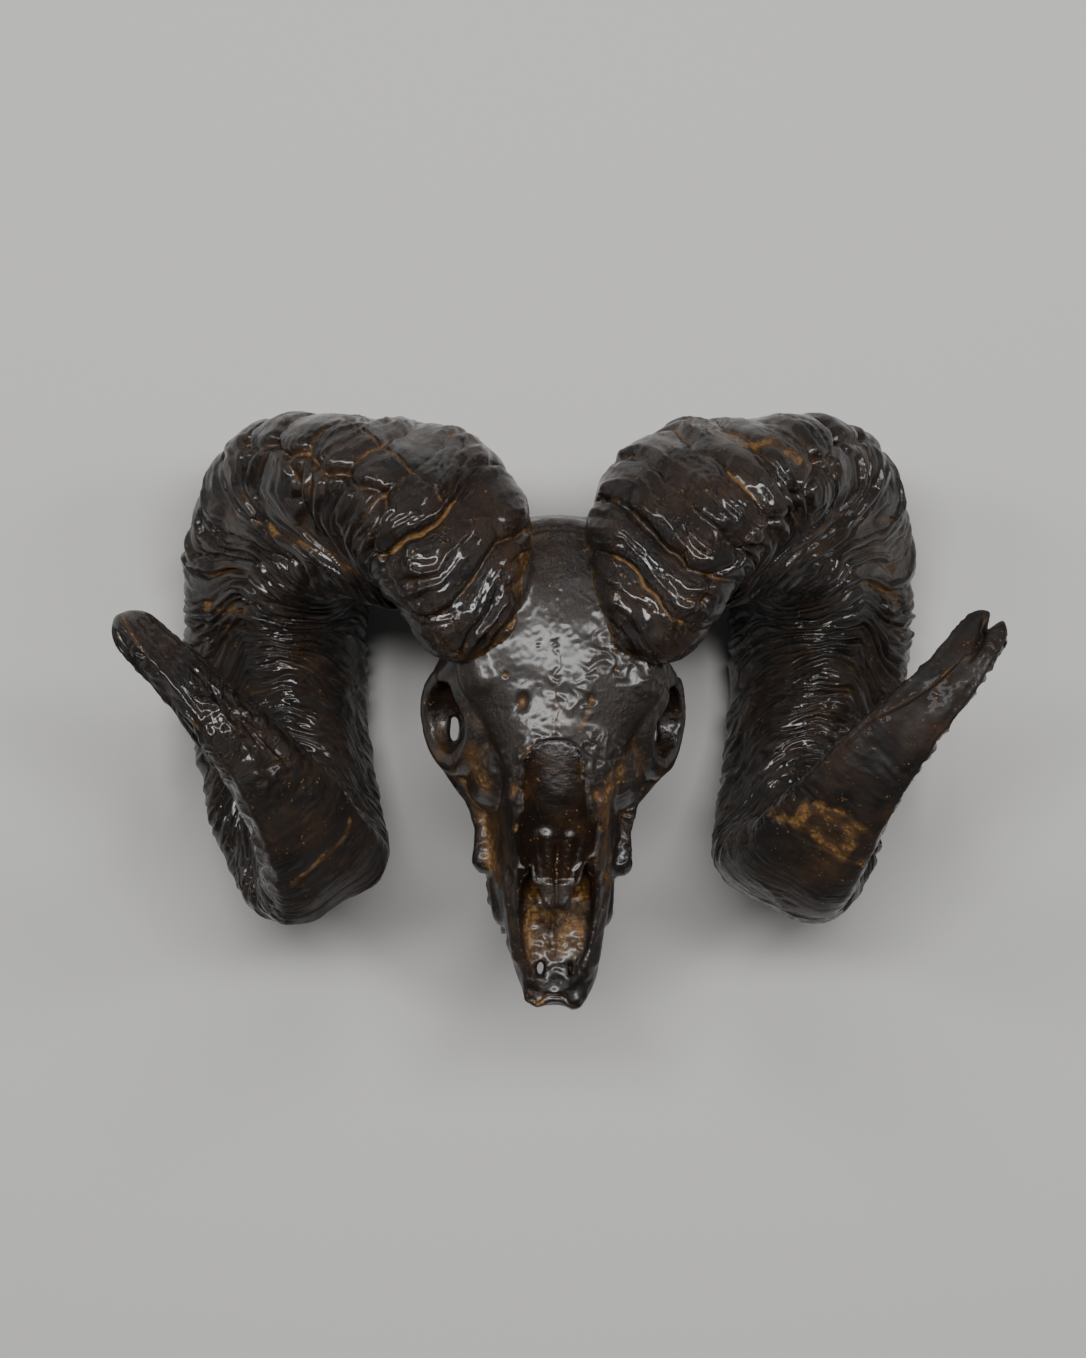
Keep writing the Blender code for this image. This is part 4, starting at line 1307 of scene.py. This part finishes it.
# %% Put the skull together
skull.data.vertices.foreach_set("co", (bone_points * MM).astype(np.float32).ravel())
skull.data.transform(skull_frame)
skull.data.update()
skull.data.shade_smooth()
dress(skull, {"ochre": ochre, "hollow": scaled_hollow(hollow), "grey": grey}, skull_bronze)
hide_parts("skull")
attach(skull, "root")
print("skull of", len(skull.data.polygons), "faces")

# %% [markdown]
# ## The horns
# One skin per horn stands for the four lengths of the solid model, so no seam shows. Where
# horn meets skull, dirt fills the gap. It is found by distance: every point of a horn's foot
# asks a search tree for the nearest place on the skull, which is far quicker than testing
# it against every face. Both horns come from the same functions, and what differs between
# them is in the tables and the marks.

# %% Distance to the skull
FOOT_END = 62           # the foot ends at this turn
FOOT_REACH = 12         # mm, how far the search looks


def distance_to(tree, points, reach):
    """Distance in mm from points to a surface, up to a reach."""
    found = [tree.find_nearest(Vector(p), reach) for p in points]
    return np.array([reach if hit[3] is None else hit[3] for hit in found])


bone_surface = BVHTree.FromPolygons([Vector(p) for p in read_points(skull)],
                                    [tuple(face.vertices) for face in skull.data.polygons])
foot_rows = int(np.searchsorted(horn_turns, FOOT_END))
print(foot_rows, "rings in a foot")

# %% Make both horns
SIDES = {"left": 1, "right": -1}
GROWTH_SCALE = 2.2      # the stored age is in units of about half a degree
GROWTH_RADIUS = 52      # mm, of the roll on which the growth lines are read
for side, mirror in SIDES.items():
    smooth = plain_horn(side, horn_turns, horn_around)
    relief, ochre, grey, age = horn_relief(side, horn_turns, horn_around, smooth)
    points = smooth + relief[..., None] * outward_normals(smooth)
    points = cloven(side, points)
    points[..., 2] = np.maximum(points[..., 2], 0)
    points[..., 0] *= mirror
    hollow = scaled_hollow(blurred(relief, 6) - relief)

    foot = points[:foot_rows].reshape(-1, 3)
    away = distance_to(bone_surface, foot, FOOT_REACH).reshape(foot_rows, -1)
    ochre[:foot_rows] = np.maximum(ochre[:foot_rows], 0.75 * hill(away, 3.0))

    loops, starts = grid_faces(*points.shape[:2], turned=mirror > 0)
    theta = np.broadcast_to(np.radians(horn_around), age.shape)
    values = {"ochre": ochre, "hollow": hollow, "grey": grey, "age": age * GROWTH_SCALE,
              "round_x": GROWTH_RADIUS * np.cos(theta), "round_y": GROWTH_RADIUS * np.sin(theta)}
    horn = new_mesh("ram_horn_" + side, points.reshape(-1, 3) * MM, loops, starts, values,
                    horn_bronze)
    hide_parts(*(f"horn_{side}_{part}" for part in ("base", "crown", "curl", "tip")))
    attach(horn, "root")
    highest = horn_turns[points[..., 2].max(axis=1).argmax()]
    print(horn.name, "of", len(horn.data.polygons), "faces, highest at turn", highest.round())

# %% [markdown]
# ## Studio
# A pale seamless floor and soft boxes. A dark glossy surface shows its lights more than
# its colour, so the boxes are the drawing: a broad one above and behind gives the forehead
# and the rolls their crisp lights, and long ones at the sides give the outer faces their
# quiet sheen. A picture of a studio as a background could light it too, but its lights
# couldn't be moved one by one. The broad box stands so far back that the plate over the
# nose doesn't mirror it.

# %% Floor, lights and sky
FLOOR_HALF = 6
OBJECT_MIDDLE = (0, 0, 0.1)


def pale_floor():
    finish = Finish("pale_floor")
    finish.feed(Base_Color=(0.54, 0.53, 0.52, 1), Roughness=0.8, Specular_IOR_Level=0.2)
    mesh = bpy.data.meshes.new("floor")
    signs = ((-1, -1), (1, -1), (1, 1), (-1, 1))
    corners = [(sx * FLOOR_HALF, sy * FLOOR_HALF, 0) for sx, sy in signs]
    mesh.from_pydata(corners, [], [(0, 1, 2, 3)])
    mesh.materials.append(finish.material)
    floor = bpy.data.objects.new("floor", mesh)
    bpy.context.scene.collection.objects.link(floor)


def soft_box(name, place, size, watts):
    """A rectangular light that faces the middle of the object."""
    lamp = bpy.data.lights.new(name, "AREA")
    lamp.shape = "RECTANGLE"
    lamp.size, lamp.size_y = size
    lamp.energy = watts
    box = bpy.data.objects.new(name, lamp)
    box.location = place
    toward = Vector(OBJECT_MIDDLE) - Vector(place)
    box.rotation_euler = toward.to_track_quat("-Z", "Y").to_euler()
    bpy.context.scene.collection.objects.link(box)


pale_floor()
soft_box("key", (0.0, 0.53, 2.5), (1.8, 0.38), 62)
soft_box("side_left", (-1.3, 0.6, 1.7), (0.3, 0.8), 11)
soft_box("side_right", (1.3, 0.5, 1.7), (0.3, 0.8), 10)

world = bpy.data.worlds.new("studio")
bpy.context.scene.world = world
world.use_nodes = True
sky = world.node_tree.nodes["Background"]
sky.inputs["Color"].default_value = (0.80, 0.80, 0.82, 1)
sky.inputs["Strength"].default_value = 0.07

# %% [markdown]
# ## Camera
# The photograph looks straight down on the forehead from about two metres, turned two
# degrees to one side, which shows a little more of one cheek. A long lens keeps the horns
# from spreading, as in the photograph, and a small shift puts the object in its place in
# the picture without tilting the view.

# %% Camera
IMAGE = (1086, 1358)
FOCAL_PIXELS = 3736
SHIFT_PIXELS = -15
DISTANCE = 2.0
YAW = math.radians(2.05)
camera_data = bpy.data.cameras.new("camera")
camera_data.sensor_fit = "VERTICAL"
camera_data.sensor_height = 36
camera_data.lens = FOCAL_PIXELS / IMAGE[1] * camera_data.sensor_height
camera_data.shift_x = SHIFT_PIXELS / IMAGE[1]
camera = bpy.data.objects.new("camera", camera_data)
camera.location = (-DISTANCE * math.tan(YAW), 0.0147, 2.175)
camera.rotation_euler = (0, -YAW, 0)
bpy.context.scene.collection.objects.link(camera)
bpy.context.scene.camera = camera
print("camera at", [round(c, 3) for c in camera.location])

# %% The end
bpy.context.view_layer.update()
